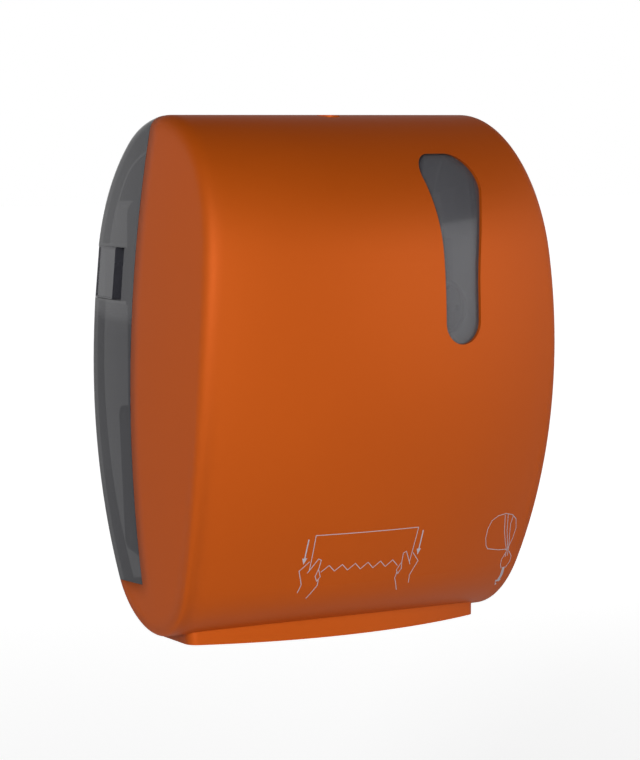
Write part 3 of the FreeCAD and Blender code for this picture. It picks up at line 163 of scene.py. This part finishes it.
grey_moulding = moulded_skin("grey moulding", ((0.150, 0.155, 0.160), (0.190, 0.195, 0.200)), (0.38, 0.52))
dress(grey_moulding, "back_plate", "latch_keeper", "cam_ring", "roll_arm_left", "roll_arm_right")

drum_grey = moulded_skin("drum grey", ((0.24, 0.245, 0.25), (0.29, 0.295, 0.30)), (0.34, 0.46))
dress(drum_grey, "drum_half_lower", "drum_half_upper", "blade_carrier")


# Side plates, guides, spring housing, drum ends, pinch yoke and core hubs.
# These are moulded in black glass-filled plastic, duller than the grey, and they are
# screwed or clipped together to make the frame that the drum turns in.

dark_moulding = moulded_skin("dark moulding", ((0.016, 0.017, 0.019), (0.026, 0.027, 0.030)), (0.40, 0.56),
                             grain=0.0008, relief=0.00014, worn=(0.09, 0.09, 0.095))
dress(dark_moulding, "right_cheek", "left_cheek", "front_guide", "stripper_comb", "drum_end_right",
      "drum_end_left", "pinch_yoke", "core_hub_left", "core_hub_right")

housing_black = moulded_skin("housing black", ((0.010, 0.0105, 0.012), (0.016, 0.017, 0.019)), (0.30, 0.42),
                             worn=(0.05, 0.05, 0.055))
dress(housing_black, "left_housing")


# Feed wheel on the right end of the drum shaft, for pushing the towel through by hand.
# It is moulded in green so that the person who fills the dispenser finds it at once.

wheel_green = moulded_skin("feed wheel green", ((0.030, 0.150, 0.060), (0.040, 0.190, 0.078)), (0.30, 0.44),
                           worn=(0.20, 0.36, 0.24))
dress(wheel_green, "feed_wheel")


# Grip bands round the drum and the four rollers that press the towel on them.
# Both are soft black rubber, matt, with paper dust in the pores where the towel runs.

def rubber_skin(name, clean, dusty):
    """Matt rubber with pores, and paper dust lying in patches."""
    skin = bpy.data.materials.new(name)
    skin.use_nodes = True
    tree = skin.node_tree
    rubber = tree.nodes["Principled BSDF"]
    place = tree.nodes.new("ShaderNodeTexCoord")
    pores = tree.nodes.new("ShaderNodeTexVoronoi")
    pores.inputs["Scale"].default_value = 900
    dust = tree.nodes.new("ShaderNodeTexNoise")
    dust.inputs["Scale"].default_value = 60
    dust.inputs["Detail"].default_value = 6
    patches = tree.nodes.new("ShaderNodeMapRange")
    patches.inputs["From Min"].default_value = 0.45
    patches.inputs["From Max"].default_value = 0.72
    tone = tree.nodes.new("ShaderNodeMix")
    tone.data_type = "RGBA"
    tone.inputs["A"].default_value = (*clean, 1)
    tone.inputs["B"].default_value = (*dusty, 1)
    rough = tree.nodes.new("ShaderNodeMapRange")
    rough.inputs["To Min"].default_value = 0.62
    rough.inputs["To Max"].default_value = 0.9
    bump = tree.nodes.new("ShaderNodeBump")
    bump.inputs["Distance"].default_value = 0.00015
    bump.inputs["Strength"].default_value = 0.5
    tree.links.new(place.outputs["Object"], pores.inputs["Vector"])
    tree.links.new(place.outputs["Object"], dust.inputs["Vector"])
    tree.links.new(dust.outputs["Fac"], patches.inputs["Value"])
    tree.links.new(patches.outputs["Result"], tone.inputs["Factor"])
    tree.links.new(tone.outputs["Result"], rubber.inputs["Base Color"])
    tree.links.new(dust.outputs["Fac"], rough.inputs["Value"])
    tree.links.new(rough.outputs["Result"], rubber.inputs["Roughness"])
    tree.links.new(pores.outputs["Distance"], bump.inputs["Height"])
    tree.links.new(bump.outputs["Normal"], rubber.inputs["Normal"])
    return skin


grip_rubber = rubber_skin("grip rubber", (0.018, 0.018, 0.019), (0.10, 0.098, 0.094))
dress(grip_rubber, "grip_bands", "pinch_rollers")


# Shafts, tie bars, pins, crank and screws: turned or headed steel with a bright zinc plating.
# The plating is cloudy and keeps the fine rings of the turning under it.

def tool_marks():
    """Fine marks of turning or grinding, with the cloudy tone of the plating."""
    if "tool marks" in bpy.data.node_groups:
        return bpy.data.node_groups["tool marks"]
    tree = bpy.data.node_groups.new("tool marks", "ShaderNodeTree")
    for name, kind in (("Low Tone", "NodeSocketColor"), ("High Tone", "NodeSocketColor"),
                       ("Marks", "NodeSocketVector"), ("Low Roughness", "NodeSocketFloat"),
                       ("High Roughness", "NodeSocketFloat")):
        tree.interface.new_socket(name=name, in_out="INPUT", socket_type=kind)
    for name, kind in (("Tone", "NodeSocketColor"), ("Roughness", "NodeSocketFloat"),
                       ("Height", "NodeSocketFloat")):
        tree.interface.new_socket(name=name, in_out="OUTPUT", socket_type=kind)
    given = tree.nodes.new("NodeGroupInput")
    result = tree.nodes.new("NodeGroupOutput")
    place = tree.nodes.new("ShaderNodeTexCoord")
    stretch = tree.nodes.new("ShaderNodeMapping")
    marks = tree.nodes.new("ShaderNodeTexNoise")
    marks.inputs["Scale"].default_value = 1
    marks.inputs["Detail"].default_value = 3
    cloud = tree.nodes.new("ShaderNodeTexNoise")
    cloud.inputs["Scale"].default_value = 75
    cloud.inputs["Detail"].default_value = 4
    tone = tree.nodes.new("ShaderNodeMix")
    tone.data_type = "RGBA"
    rough = tree.nodes.new("ShaderNodeMapRange")
    rough.inputs["From Min"].default_value = 0.3
    rough.inputs["From Max"].default_value = 0.7
    tree.links.new(place.outputs["Object"], stretch.inputs["Vector"])
    tree.links.new(given.outputs["Marks"], stretch.inputs["Scale"])
    tree.links.new(stretch.outputs["Vector"], marks.inputs["Vector"])
    tree.links.new(place.outputs["Object"], cloud.inputs["Vector"])
    tree.links.new(cloud.outputs["Fac"], tone.inputs["Factor"])
    tree.links.new(given.outputs["Low Tone"], tone.inputs["A"])
    tree.links.new(given.outputs["High Tone"], tone.inputs["B"])
    tree.links.new(marks.outputs["Fac"], rough.inputs["Value"])
    tree.links.new(given.outputs["Low Roughness"], rough.inputs["To Min"])
    tree.links.new(given.outputs["High Roughness"], rough.inputs["To Max"])
    tree.links.new(tone.outputs["Result"], result.inputs["Tone"])
    tree.links.new(rough.outputs["Result"], result.inputs["Roughness"])
    tree.links.new(marks.outputs["Fac"], result.inputs["Height"])
    return tree


def metal_skin(name, tones, roughness, marks, relief=0.00002):
    """A worked metal. marks gives how closely the tool marks lie along X, Y and Z, per metre."""
    skin = bpy.data.materials.new(name)
    skin.use_nodes = True
    tree = skin.node_tree
    metal = tree.nodes["Principled BSDF"]
    metal.inputs["Metallic"].default_value = 1
    worked = tree.nodes.new("ShaderNodeGroup")
    worked.node_tree = tool_marks()
    worked.inputs["Low Tone"].default_value = (*tones[0], 1)
    worked.inputs["High Tone"].default_value = (*tones[1], 1)
    worked.inputs["Marks"].default_value = marks
    worked.inputs["Low Roughness"].default_value = roughness[0]
    worked.inputs["High Roughness"].default_value = roughness[1]
    bump = tree.nodes.new("ShaderNodeBump")
    bump.inputs["Distance"].default_value = relief
    bump.inputs["Strength"].default_value = 0.5
    tree.links.new(worked.outputs["Tone"], metal.inputs["Base Color"])
    tree.links.new(worked.outputs["Roughness"], metal.inputs["Roughness"])
    tree.links.new(worked.outputs["Height"], bump.inputs["Height"])
    tree.links.new(bump.outputs["Normal"], metal.inputs["Normal"])
    return skin


turned_zinc = metal_skin("turned zinc", ((0.42, 0.43, 0.45), (0.58, 0.585, 0.60)), (0.22, 0.38),
                         (1600, 60, 60))
dress(turned_zinc, "tie_bars", "drum_shaft", "pinch_shaft", "pinch_pivot_rod", "hinge_pins",
      "blade_pivot_pins", "crank_pin", "cam_follower", "arm_pins")
plated_steel = metal_skin("plated steel", ((0.46, 0.46, 0.44), (0.60, 0.60, 0.57)), (0.20, 0.36),
                          (700, 700, 700))
dress(plated_steel, "crank_disc", "cheek_screws", "tie_screws", "guide_screws", "keeper_screws",
      "housing_screws", "hub_screw_left", "hub_screw_right", "blade_screws", "tongue_screw")


# Blade that cuts the towel: stainless strip, its teeth ground across, on a carrier inside the drum.
# The grinding leaves fine lines from the back of the blade to the tips.

ground_blade = metal_skin("ground blade", ((0.52, 0.53, 0.55), (0.66, 0.67, 0.69)), (0.14, 0.30),
                          (3000, 90, 90))
dress(ground_blade, "cutter_blade")


# Flanged bushes of the drum shaft: sintered brass, pressed into the side plates.

bush_brass = metal_skin("bush brass", ((0.50, 0.34, 0.11), (0.62, 0.45, 0.17)), (0.26, 0.42),
                        (900, 900, 900))
dress(bush_brass, "drum_bushes")


# Spring that kicks the drum on after each cut: drawn spring wire, oiled and a little darker
# than the plating.

spring_wire = metal_skin("spring wire", ((0.22, 0.22, 0.23), (0.34, 0.34, 0.35)), (0.24, 0.40),
                         (400, 400, 400))
dress(spring_wire, "kick_spring")


# Lock in the top of the cover: a nickel-plated barrel with its keyway, and the steel tongue under it.

nickel = metal_skin("nickel plating", ((0.58, 0.57, 0.54), (0.68, 0.67, 0.64)), (0.08, 0.18),
                    (500, 500, 500))
dress(nickel, "lock_barrel")
dress(plated_steel, "lock_tongue")


# Front of the cover: one large moulding with a soft-touch satin lacquer in orange, very smooth,
# with only a breath of orange peel and slightly paler along its sharp edges.
# The thick lacquer softens the shading of both side corners, and of nothing nearer the middle.

soft_orange = moulded_skin("soft-touch orange", ((0.475, 0.078, 0.0020), (0.505, 0.085, 0.0026)),
                           (0.50, 0.56), grain=0.0022, relief=0.00002, worn=(0.60, 0.17, 0.04),
                           reach=0.0005, amount=0.35)
lacquer = soft_orange.node_tree.nodes["Principled BSDF"]
lacquer.inputs["Metallic"].default_value = 0.31
lacquer.inputs["Specular IOR Level"].default_value = 0.18
SOFT_CORNER_R = 0.017
SOFT_CORNER_FROM_X = 0.124
SOFT_CORNER_FADE = 0.008
paint = soft_orange.node_tree
soft_corner = paint.nodes.new("ShaderNodeBevel")
soft_corner.samples = 8
soft_corner.inputs["Radius"].default_value = SOFT_CORNER_R
own = paint.nodes.new("ShaderNodeNewGeometry")
spot = paint.nodes.new("ShaderNodeTexCoord")
axes = paint.nodes.new("ShaderNodeSeparateXYZ")
out = paint.nodes.new("ShaderNodeMath")
out.operation = "ABSOLUTE"
at_side = paint.nodes.new("ShaderNodeMapRange")
at_side.inputs["From Min"].default_value = SOFT_CORNER_FROM_X - SOFT_CORNER_FADE
at_side.inputs["From Max"].default_value = SOFT_CORNER_FROM_X
turned = paint.nodes.new("ShaderNodeMix")
turned.data_type = "VECTOR"
paint.links.new(spot.outputs["Object"], axes.inputs["Vector"])
paint.links.new(axes.outputs["X"], out.inputs[0])
paint.links.new(out.outputs["Value"], at_side.inputs["Value"])
paint.links.new(at_side.outputs["Result"], turned.inputs["Factor"])
paint.links.new(own.outputs["Normal"], turned.inputs["A"])
paint.links.new(soft_corner.outputs["Normal"], turned.inputs["B"])
paint.links.new(turned.outputs["Result"], paint.nodes["Bump"].inputs["Normal"])
dress(soft_orange, "front_cover")


# Printed marks on the front: white ink, screen-printed straight on the lacquer.
# Low in the middle a towel is drawn between two hands with a toothed lower edge and two arrows,
# and at the right a hanging strip with an arrow that shows where a new towel comes out.

INK_STEP = 0.002
INK_OFF = 0.0020            # the ink is drawn this far in front of the cover, then laid on it
INK_T = 0.00008
LINE_W = 0.00048
BOLD_W = 0.0009
millimetre = 0.001
lip_low_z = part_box("front_cover")[0].z
cover_front_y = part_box("front_cover")[0].y


def inked_line(start, end, width):
    """One straight stroke between two places, in millimetres to the right and above the lip's edge."""
    length = math.dist(start, end) * millimetre + 0.8 * width
    lean = math.atan2(end[1] - start[1], end[0] - start[0])
    middle = ((start[0] + end[0]) / 2 * millimetre, cover_front_y - INK_OFF,
              lip_low_z + (start[1] + end[1]) / 2 * millimetre)
    bpy.ops.mesh.primitive_grid_add(x_subdivisions=max(1, round(length / INK_STEP)), y_subdivisions=1,
                                    size=1, location=middle, rotation=(math.pi / 2, -lean, 0))
    bpy.context.object.scale = (length, width, 1)
    strokes.append(bpy.context.object)


def inked_path(corners, width=LINE_W, mirrored_about=None):
    """Strokes from corner to corner. With a line to mirror about, a second copy on its other side."""
    for start, end in zip(corners, corners[1:]):
        inked_line(start, end, width)
        if mirrored_about is not None:
            inked_line((2 * mirrored_about - start[0], start[1]),
                       (2 * mirrored_about - end[0], end[1]), width)


def inked_head(tip, across, length):
    """The filled head of an arrow that points down."""
    bpy.ops.mesh.primitive_circle_add(vertices=3, radius=1, fill_type="NGON",
                                      location=(tip[0] * millimetre, cover_front_y - INK_OFF,
                                                lip_low_z + (tip[1] + 2 * length / 3) * millimetre),
                                      rotation=(math.pi / 2, math.pi, 0))
    bpy.context.object.scale = (across * millimetre / math.sqrt(3), 2 * length * millimetre / 3, 1)
    strokes.append(bpy.context.object)


def lay_on_cover(name):
    """Joins the strokes, presses them on the cover's surface and gives the ink its thickness."""
    bpy.ops.object.select_all(action="DESELECT")
    for stroke in strokes:
        stroke.select_set(True)
    bpy.context.view_layer.objects.active = strokes[0]
    bpy.ops.object.transform_apply(location=True, rotation=True, scale=True)
    bpy.ops.object.join()
    print_mark = bpy.context.object
    print_mark.name = name
    laid = print_mark.modifiers.new("laid on", "SHRINKWRAP")
    laid.target = nodes["front_cover"]
    laid.wrap_method = "PROJECT"
    laid.use_project_y = True
    laid.use_project_x = False
    laid.use_project_z = False
    laid.use_negative_direction = True
    laid.use_positive_direction = True
    laid.offset = 0.6 * INK_T
    bpy.ops.object.modifier_apply(modifier="laid on")
    ink = print_mark.modifiers.new("ink", "SOLIDIFY")
    ink.thickness = INK_T
    ink.offset = 0
    bpy.ops.object.modifier_apply(modifier="ink")
    strokes.clear()
    return print_mark


strokes = []
bpy.ops.object.select_all(action="DESELECT")
towel_x = -15.5
inked_path([(towel_x - 41, 82), (towel_x + 41, 82)])
inked_path([(towel_x + 41, 82), (towel_x + 40.2, 56)], mirrored_about=towel_x)
tooth = 10.2
teeth = [(towel_x - 31 + tooth / 2 * i, 54.2 if i % 2 == 0 else 58.8) for i in range(13)]
inked_path(teeth)
inked_path([(towel_x + 44.8, 39.5), (towel_x + 43.6, 45.5), (towel_x + 47.8, 56.0),
            (towel_x + 41.6, 62.6)], mirrored_about=towel_x)
inked_path([(towel_x + 41.2, 54.2), (towel_x + 35.2, 64.4), (towel_x + 33.0, 63.2), (towel_x + 33.4, 56.4),
            (towel_x + 30.6, 50.6), (towel_x + 32.6, 47.4), (towel_x + 34.6, 51.2), (towel_x + 33.4, 56.4)],
           mirrored_about=towel_x)
inked_path([(towel_x + 36.4, 34.6), (towel_x + 31.2, 44.2), (towel_x + 31.6, 48.6)], mirrored_about=towel_x)
inked_path([(towel_x + 45.8, 79), (towel_x + 45.8, 64)], BOLD_W, mirrored_about=towel_x)
for side in (-1, 1):
    inked_head((towel_x + side * 45.8, 60.8), 3.6, 4.6)
pull_mark = lay_on_cover("printed_pull_mark")

inked_path([(99.0, 57.6), (96.2, 60.5), (93.8, 66.5), (93.6, 73.5), (96.0, 79.6), (102.0, 82.8),
            (109.8, 83.6), (117.6, 81.8), (122.8, 77.8), (125.4, 70.6), (124.6, 62.6), (121.8, 54.4),
            (111.4, 55.2), (99.0, 57.6)])
inked_path([(109.2, 82.4), (112.6, 70.0), (117.4, 60.0), (121.4, 53.0), (122.0, 48.4)])
inked_path([(112.4, 82.6), (115.4, 70.4), (119.6, 60.2), (122.6, 53.0)])
inked_path([(118.6, 80.4), (117.8, 74.6), (119.6, 66.4), (123.4, 54.4), (124.0, 49.0)])
inked_path([(121.2, 52.0), (118.8, 46.6), (119.4, 42.2), (121.6, 39.2)])
inked_path([(125.0, 52.2), (129.2, 47.8), (129.4, 43.6), (126.6, 39.2)])
inked_path([(124.2, 38.8), (125.2, 33.6), (124.6, 29.0)], 0.0026)
inked_head((124.2, 24.4), 6.4, 5.0)
feed_mark = lay_on_cover("printed_feed_mark")

white_ink = moulded_skin("white ink", ((0.42, 0.38, 0.42), (0.50, 0.46, 0.50)), (0.45, 0.6), grain=0.0004,
                         relief=0.00001, amount=0.2)
for mark in (pull_mark, feed_mark):
    mark.data.materials.append(white_ink)
    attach(mark, "cover")


# Rear of the cover and the pane of the level window: smoked clear plastic with a polished skin.
# Its locating rim slips into the orange front, and the grips for opening are moulded in both sides.

def smoked_skin(name, tint, opacity, polish):
    """Smoked clear plastic: tinted, see-through, with faint hairline marks from wiping."""
    skin = bpy.data.materials.new(name)
    skin.use_nodes = True
    tree = skin.node_tree
    plastic = tree.nodes["Principled BSDF"]
    plastic.inputs["Specular IOR Level"].default_value = 0.44
    place = tree.nodes.new("ShaderNodeTexCoord")
    stretch = tree.nodes.new("ShaderNodeMapping")
    stretch.inputs["Scale"].default_value = (90, 90, 1400)
    hairlines = tree.nodes.new("ShaderNodeTexNoise")
    hairlines.inputs["Scale"].default_value = 1
    hairlines.inputs["Detail"].default_value = 2
    cloud = tree.nodes.new("ShaderNodeTexNoise")
    cloud.inputs["Scale"].default_value = 12
    cloud.inputs["Detail"].default_value = 3
    tone = tree.nodes.new("ShaderNodeMix")
    tone.data_type = "RGBA"
    tone.inputs["A"].default_value = (*[0.85 * t for t in tint], 1)
    tone.inputs["B"].default_value = (*tint, 1)
    rough = tree.nodes.new("ShaderNodeMapRange")
    rough.inputs["From Min"].default_value = 0.35
    rough.inputs["From Max"].default_value = 0.75
    rough.inputs["To Min"].default_value = polish[0]
    rough.inputs["To Max"].default_value = polish[1]
    cover_up = tree.nodes.new("ShaderNodeMapRange")
    cover_up.inputs["To Min"].default_value = opacity - 0.02
    cover_up.inputs["To Max"].default_value = opacity + 0.02
    bump = tree.nodes.new("ShaderNodeBump")
    bump.inputs["Distance"].default_value = 0.000004
    bump.inputs["Strength"].default_value = 0.4
    tree.links.new(place.outputs["Object"], stretch.inputs["Vector"])
    tree.links.new(stretch.outputs["Vector"], hairlines.inputs["Vector"])
    tree.links.new(place.outputs["Object"], cloud.inputs["Vector"])
    tree.links.new(cloud.outputs["Fac"], tone.inputs["Factor"])
    tree.links.new(tone.outputs["Result"], plastic.inputs["Base Color"])
    tree.links.new(hairlines.outputs["Fac"], rough.inputs["Value"])
    tree.links.new(rough.outputs["Result"], plastic.inputs["Roughness"])
    tree.links.new(cloud.outputs["Fac"], cover_up.inputs["Value"])
    tree.links.new(cover_up.outputs["Result"], plastic.inputs["Alpha"])
    tree.links.new(hairlines.outputs["Fac"], bump.inputs["Height"])
    tree.links.new(bump.outputs["Normal"], plastic.inputs["Normal"])
    return skin


smoked_body = smoked_skin("smoked rear", (0.018, 0.018, 0.026), 0.84, (0.05, 0.12))
dress(smoked_body, "smoked_shell")
smoked_window = smoked_skin("smoked window", (0.135, 0.135, 0.150), 0.48, (0.12, 0.18))
dress(smoked_window, "window_pane")


# Finger grips in both sides of the smoked rear, by which the cover is pulled open once it is unlocked.
# Behind each deep pocket a shallow bed for the finger runs out to the rear edge of the cover.

GRIP_EDGE_Y = -0.0055
GRIP_STEP_Y = -0.0370
GRIP_FLOOR_X = 0.1342
GRIP_LOW_Z = 0.0357
GRIP_TOP_Z = 0.0725
GRIP_CLEAR = 0.0015         # this far above or below the grip, the side is measured
GRIP_INSIDE = 0.00006       # the grip's rim lies this much inside the side
GRIP_RIM = 0.0010
GRIP_DEEP = 0.0007
GRIP_EDGE_R = 0.0003


def side_of_cover(y, z):
    """How far out the rim of a grip stands there: a hair less than the smoked side does."""
    hit = nodes["smoked_shell"].ray_cast(Vector((0.3, y, z)), Vector((-1, 0, 0)))[1]
    return hit.x - GRIP_INSIDE


bpy.ops.object.select_all(action="DESELECT")
bpy.ops.mesh.primitive_cube_add(size=1)
right_grip = bpy.context.object
right_grip.name = "grip_recess_right"
for corner in right_grip.data.vertices:
    y = GRIP_EDGE_Y if corner.co.y > 0 else GRIP_STEP_Y
    z = GRIP_TOP_Z if corner.co.z > 0 else GRIP_LOW_Z
    clear_z = z + GRIP_CLEAR if corner.co.z > 0 else z - GRIP_CLEAR
    x = side_of_cover(y, clear_z) if corner.co.x > 0 else GRIP_FLOOR_X
    corner.co = (x, y, z)
bpy.ops.object.mode_set(mode="EDIT")
bpy.ops.mesh.select_all(action="DESELECT")
bpy.ops.object.mode_set(mode="OBJECT")
for face in right_grip.data.polygons:
    face.select = face.normal.x > 0.9
bpy.ops.object.mode_set(mode="EDIT")
bpy.ops.mesh.inset(thickness=GRIP_RIM)
bpy.ops.mesh.extrude_region_move(TRANSFORM_OT_translate={"value": (-GRIP_DEEP, 0, 0)})
bpy.ops.object.mode_set(mode="OBJECT")
for corner in right_grip.data.vertices:
    if GRIP_STEP_Y < corner.co.y < GRIP_STEP_Y + 1.5 * GRIP_RIM:
        corner.co.y = GRIP_STEP_Y + 0.3 * GRIP_RIM
edges = right_grip.modifiers.new("edges", "BEVEL")
edges.width = GRIP_EDGE_R
edges.segments = 3
edges.limit_method = "ANGLE"
bpy.context.view_layer.objects.active = right_grip
bpy.ops.object.modifier_apply(modifier="edges")
left_grip = right_grip.copy()
left_grip.data = right_grip.data.copy()
left_grip.name = "grip_recess_left"
bpy.context.collection.objects.link(left_grip)
for corner in left_grip.data.vertices:
    corner.co.x = -corner.co.x
left_grip.data.flip_normals()
smoked_grip = smoked_skin("smoked grip", (0.05, 0.05, 0.06), 0.9, (0.12, 0.22))
for grip in (right_grip, left_grip):
    grip.data.materials.append(smoked_grip)
    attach(grip, "cover")


# Studio: the dispenser hangs in front of white, over a plain pale floor that takes its shadow.
# A narrow soft lamp stands at the left and a large one in front at the right, both a little above
# the dispenser. The walls are white and the ceiling is dark, so the top of the cover stays deep.

AMBIENT = 0.11
CEILING = 0.06
WALLS_UP_TO = 0.15          # how steeply up the walls still look white, and the ceiling begins
CEILING_FROM = 0.60
FLOOR_Z = -0.62
FLOOR_SIZE = 40
FLOOR_TONE = 0.75
FLOOR_IN_GLOSS = 0.5        # how much of the floor's white the glossy surfaces mirror
GLOW_NEAR = 0.70            # the floor's own glow under the dispenser, where its shadow falls
SHADOW_REACH = 0.8
WHITE_FROM = 3.5            # from this far out the floor is as white as the walls
AIM = Vector((0, -0.1, 0))
LAMP_AWAY = 2.8


def any_of(tree, *rays):
    """A mask of the kinds of ray that are named."""
    path = tree.nodes.new("ShaderNodeLightPath")
    mask = path.outputs[rays[0]]
    for ray in rays[1:]:
        either = tree.nodes.new("ShaderNodeMath")
        either.operation = "MAXIMUM"
        tree.links.new(mask, either.inputs[0])
        tree.links.new(path.outputs[ray], either.inputs[1])
        mask = either.outputs["Value"]
    return mask


bpy.ops.object.select_all(action="DESELECT")
bpy.ops.mesh.primitive_plane_add(size=FLOOR_SIZE, location=(0, 0, FLOOR_Z))
floor = bpy.context.object
floor.name = "pale_floor"
floor_paint = bpy.data.materials.new("pale floor")
floor_paint.use_nodes = True
floor_tree = floor_paint.node_tree
matt = floor_tree.nodes["Principled BSDF"]
matt.inputs["Base Color"].default_value = (FLOOR_TONE, FLOOR_TONE, FLOOR_TONE, 1)
matt.inputs["Roughness"].default_value = 0.9
matt.inputs["Specular IOR Level"].default_value = 0.1
spot = floor_tree.nodes.new("ShaderNodeTexCoord")
far = floor_tree.nodes.new("ShaderNodeVectorMath")
far.operation = "LENGTH"
fade = floor_tree.nodes.new("ShaderNodeMapRange")
fade.inputs["From Min"].default_value = SHADOW_REACH
fade.inputs["From Max"].default_value = WHITE_FROM
fade.inputs["To Min"].default_value = GLOW_NEAR
fade.inputs["To Max"].default_value = 1.0
glow = floor_tree.nodes.new("ShaderNodeEmission")
both = floor_tree.nodes.new("ShaderNodeAddShader")
seen = floor_tree.nodes.new("ShaderNodeMixShader")
in_gloss = floor_tree.nodes.new("ShaderNodeMath")
in_gloss.operation = "MULTIPLY"
in_gloss.inputs[1].default_value = FLOOR_IN_GLOSS
white_floor = floor_tree.nodes.new("ShaderNodeMath")
white_floor.operation = "MAXIMUM"
floor_tree.links.new(spot.outputs["Object"], far.inputs[0])
floor_tree.links.new(far.outputs["Value"], fade.inputs["Value"])
floor_tree.links.new(fade.outputs["Result"], glow.inputs["Strength"])
floor_tree.links.new(matt.outputs["BSDF"], both.inputs[0])
floor_tree.links.new(glow.outputs["Emission"], both.inputs[1])
floor_tree.links.new(any_of(floor_tree, "Is Camera Ray", "Is Transmission Ray"), white_floor.inputs[0])
floor_tree.links.new(any_of(floor_tree, "Is Glossy Ray"), in_gloss.inputs[0])
floor_tree.links.new(in_gloss.outputs["Value"], white_floor.inputs[1])
floor_tree.links.new(white_floor.outputs["Value"], seen.inputs["Fac"])
floor_tree.links.new(matt.outputs["BSDF"], seen.inputs[1])
floor_tree.links.new(both.outputs["Shader"], seen.inputs[2])
floor_tree.links.new(seen.outputs["Shader"], floor_tree.nodes["Material Output"].inputs["Surface"])
floor.data.materials.append(floor_paint)

studio = bpy.data.worlds.new("studio")
bpy.context.scene.world = studio
studio.use_nodes = True
studio_tree = studio.node_tree
ambient = studio_tree.nodes["Background"]
ambient.inputs["Color"].default_value = (1, 1, 1, 1)
ambient.inputs["Strength"].default_value = AMBIENT
walls = studio_tree.nodes.new("ShaderNodeBackground")
walls.inputs["Color"].default_value = (1, 1, 1, 1)
white = studio_tree.nodes.new("ShaderNodeBackground")
white.inputs["Color"].default_value = (1, 1, 1, 1)
white.inputs["Strength"].default_value = 1
direction = studio_tree.nodes.new("ShaderNodeTexCoord")
axes = studio_tree.nodes.new("ShaderNodeSeparateXYZ")
up = studio_tree.nodes.new("ShaderNodeMapRange")
up.interpolation_type = "SMOOTHSTEP"
up.inputs["From Min"].default_value = WALLS_UP_TO
up.inputs["From Max"].default_value = CEILING_FROM
up.inputs["To Min"].default_value = 1.0
up.inputs["To Max"].default_value = CEILING
reflected = studio_tree.nodes.new("ShaderNodeMixShader")
shown = studio_tree.nodes.new("ShaderNodeMixShader")
studio_tree.links.new(direction.outputs["Generated"], axes.inputs["Vector"])
studio_tree.links.new(axes.outputs["Z"], up.inputs["Value"])
studio_tree.links.new(up.outputs["Result"], walls.inputs["Strength"])
studio_tree.links.new(any_of(studio_tree, "Is Glossy Ray"), reflected.inputs["Fac"])
studio_tree.links.new(ambient.outputs["Background"], reflected.inputs[1])
studio_tree.links.new(walls.outputs["Background"], reflected.inputs[2])
studio_tree.links.new(any_of(studio_tree, "Is Camera Ray", "Is Transmission Ray"), shown.inputs["Fac"])
studio_tree.links.new(reflected.outputs["Shader"], shown.inputs[1])
studio_tree.links.new(white.outputs["Background"], shown.inputs[2])
studio_tree.links.new(shown.outputs["Shader"], studio_tree.nodes["World Output"].inputs["Surface"])


def soft_lamp(name, around, above, size, watts):
    """A softbox that faces the dispenser, so many degrees round to the right and so many up."""
    round_to_right = math.radians(around)
    up_from_level = math.radians(above)
    place = AIM + LAMP_AWAY * Vector((math.sin(round_to_right) * math.cos(up_from_level),
                                      -math.cos(round_to_right) * math.cos(up_from_level),
                                      math.sin(up_from_level)))
    lamp = bpy.data.objects.new(name, bpy.data.lights.new(name, "AREA"))
    lamp.data.shape = "RECTANGLE"
    lamp.data.size = size[0]
    lamp.data.size_y = size[1]
    lamp.data.energy = watts
    lamp.location = place
    lamp.rotation_euler = (AIM - place).to_track_quat("-Z", "Y").to_euler()
    bpy.context.collection.objects.link(lamp)


soft_lamp("left_lamp", -46, 14, (0.4, 1.1), 56)
soft_lamp("front_lamp", 42, 11, (2.4, 1.9), 25)


# Camera at the photograph's place: a long lens, a little to the left and just above the dispenser.

LENS = 127.9
SENSOR = 36
bpy.context.scene.view_settings.view_transform = "Standard"
camera = bpy.data.objects.new("camera", bpy.data.cameras.new("camera"))
bpy.context.collection.objects.link(camera)
camera.data.sensor_width = SENSOR
camera.data.lens = LENS
camera.location = (-0.9957, -1.7569, 0.164)
camera.rotation_euler = Vector((0.5083, 0.8558, -0.0967)).to_track_quat("-Z", "Y").to_euler()
bpy.context.scene.camera = camera
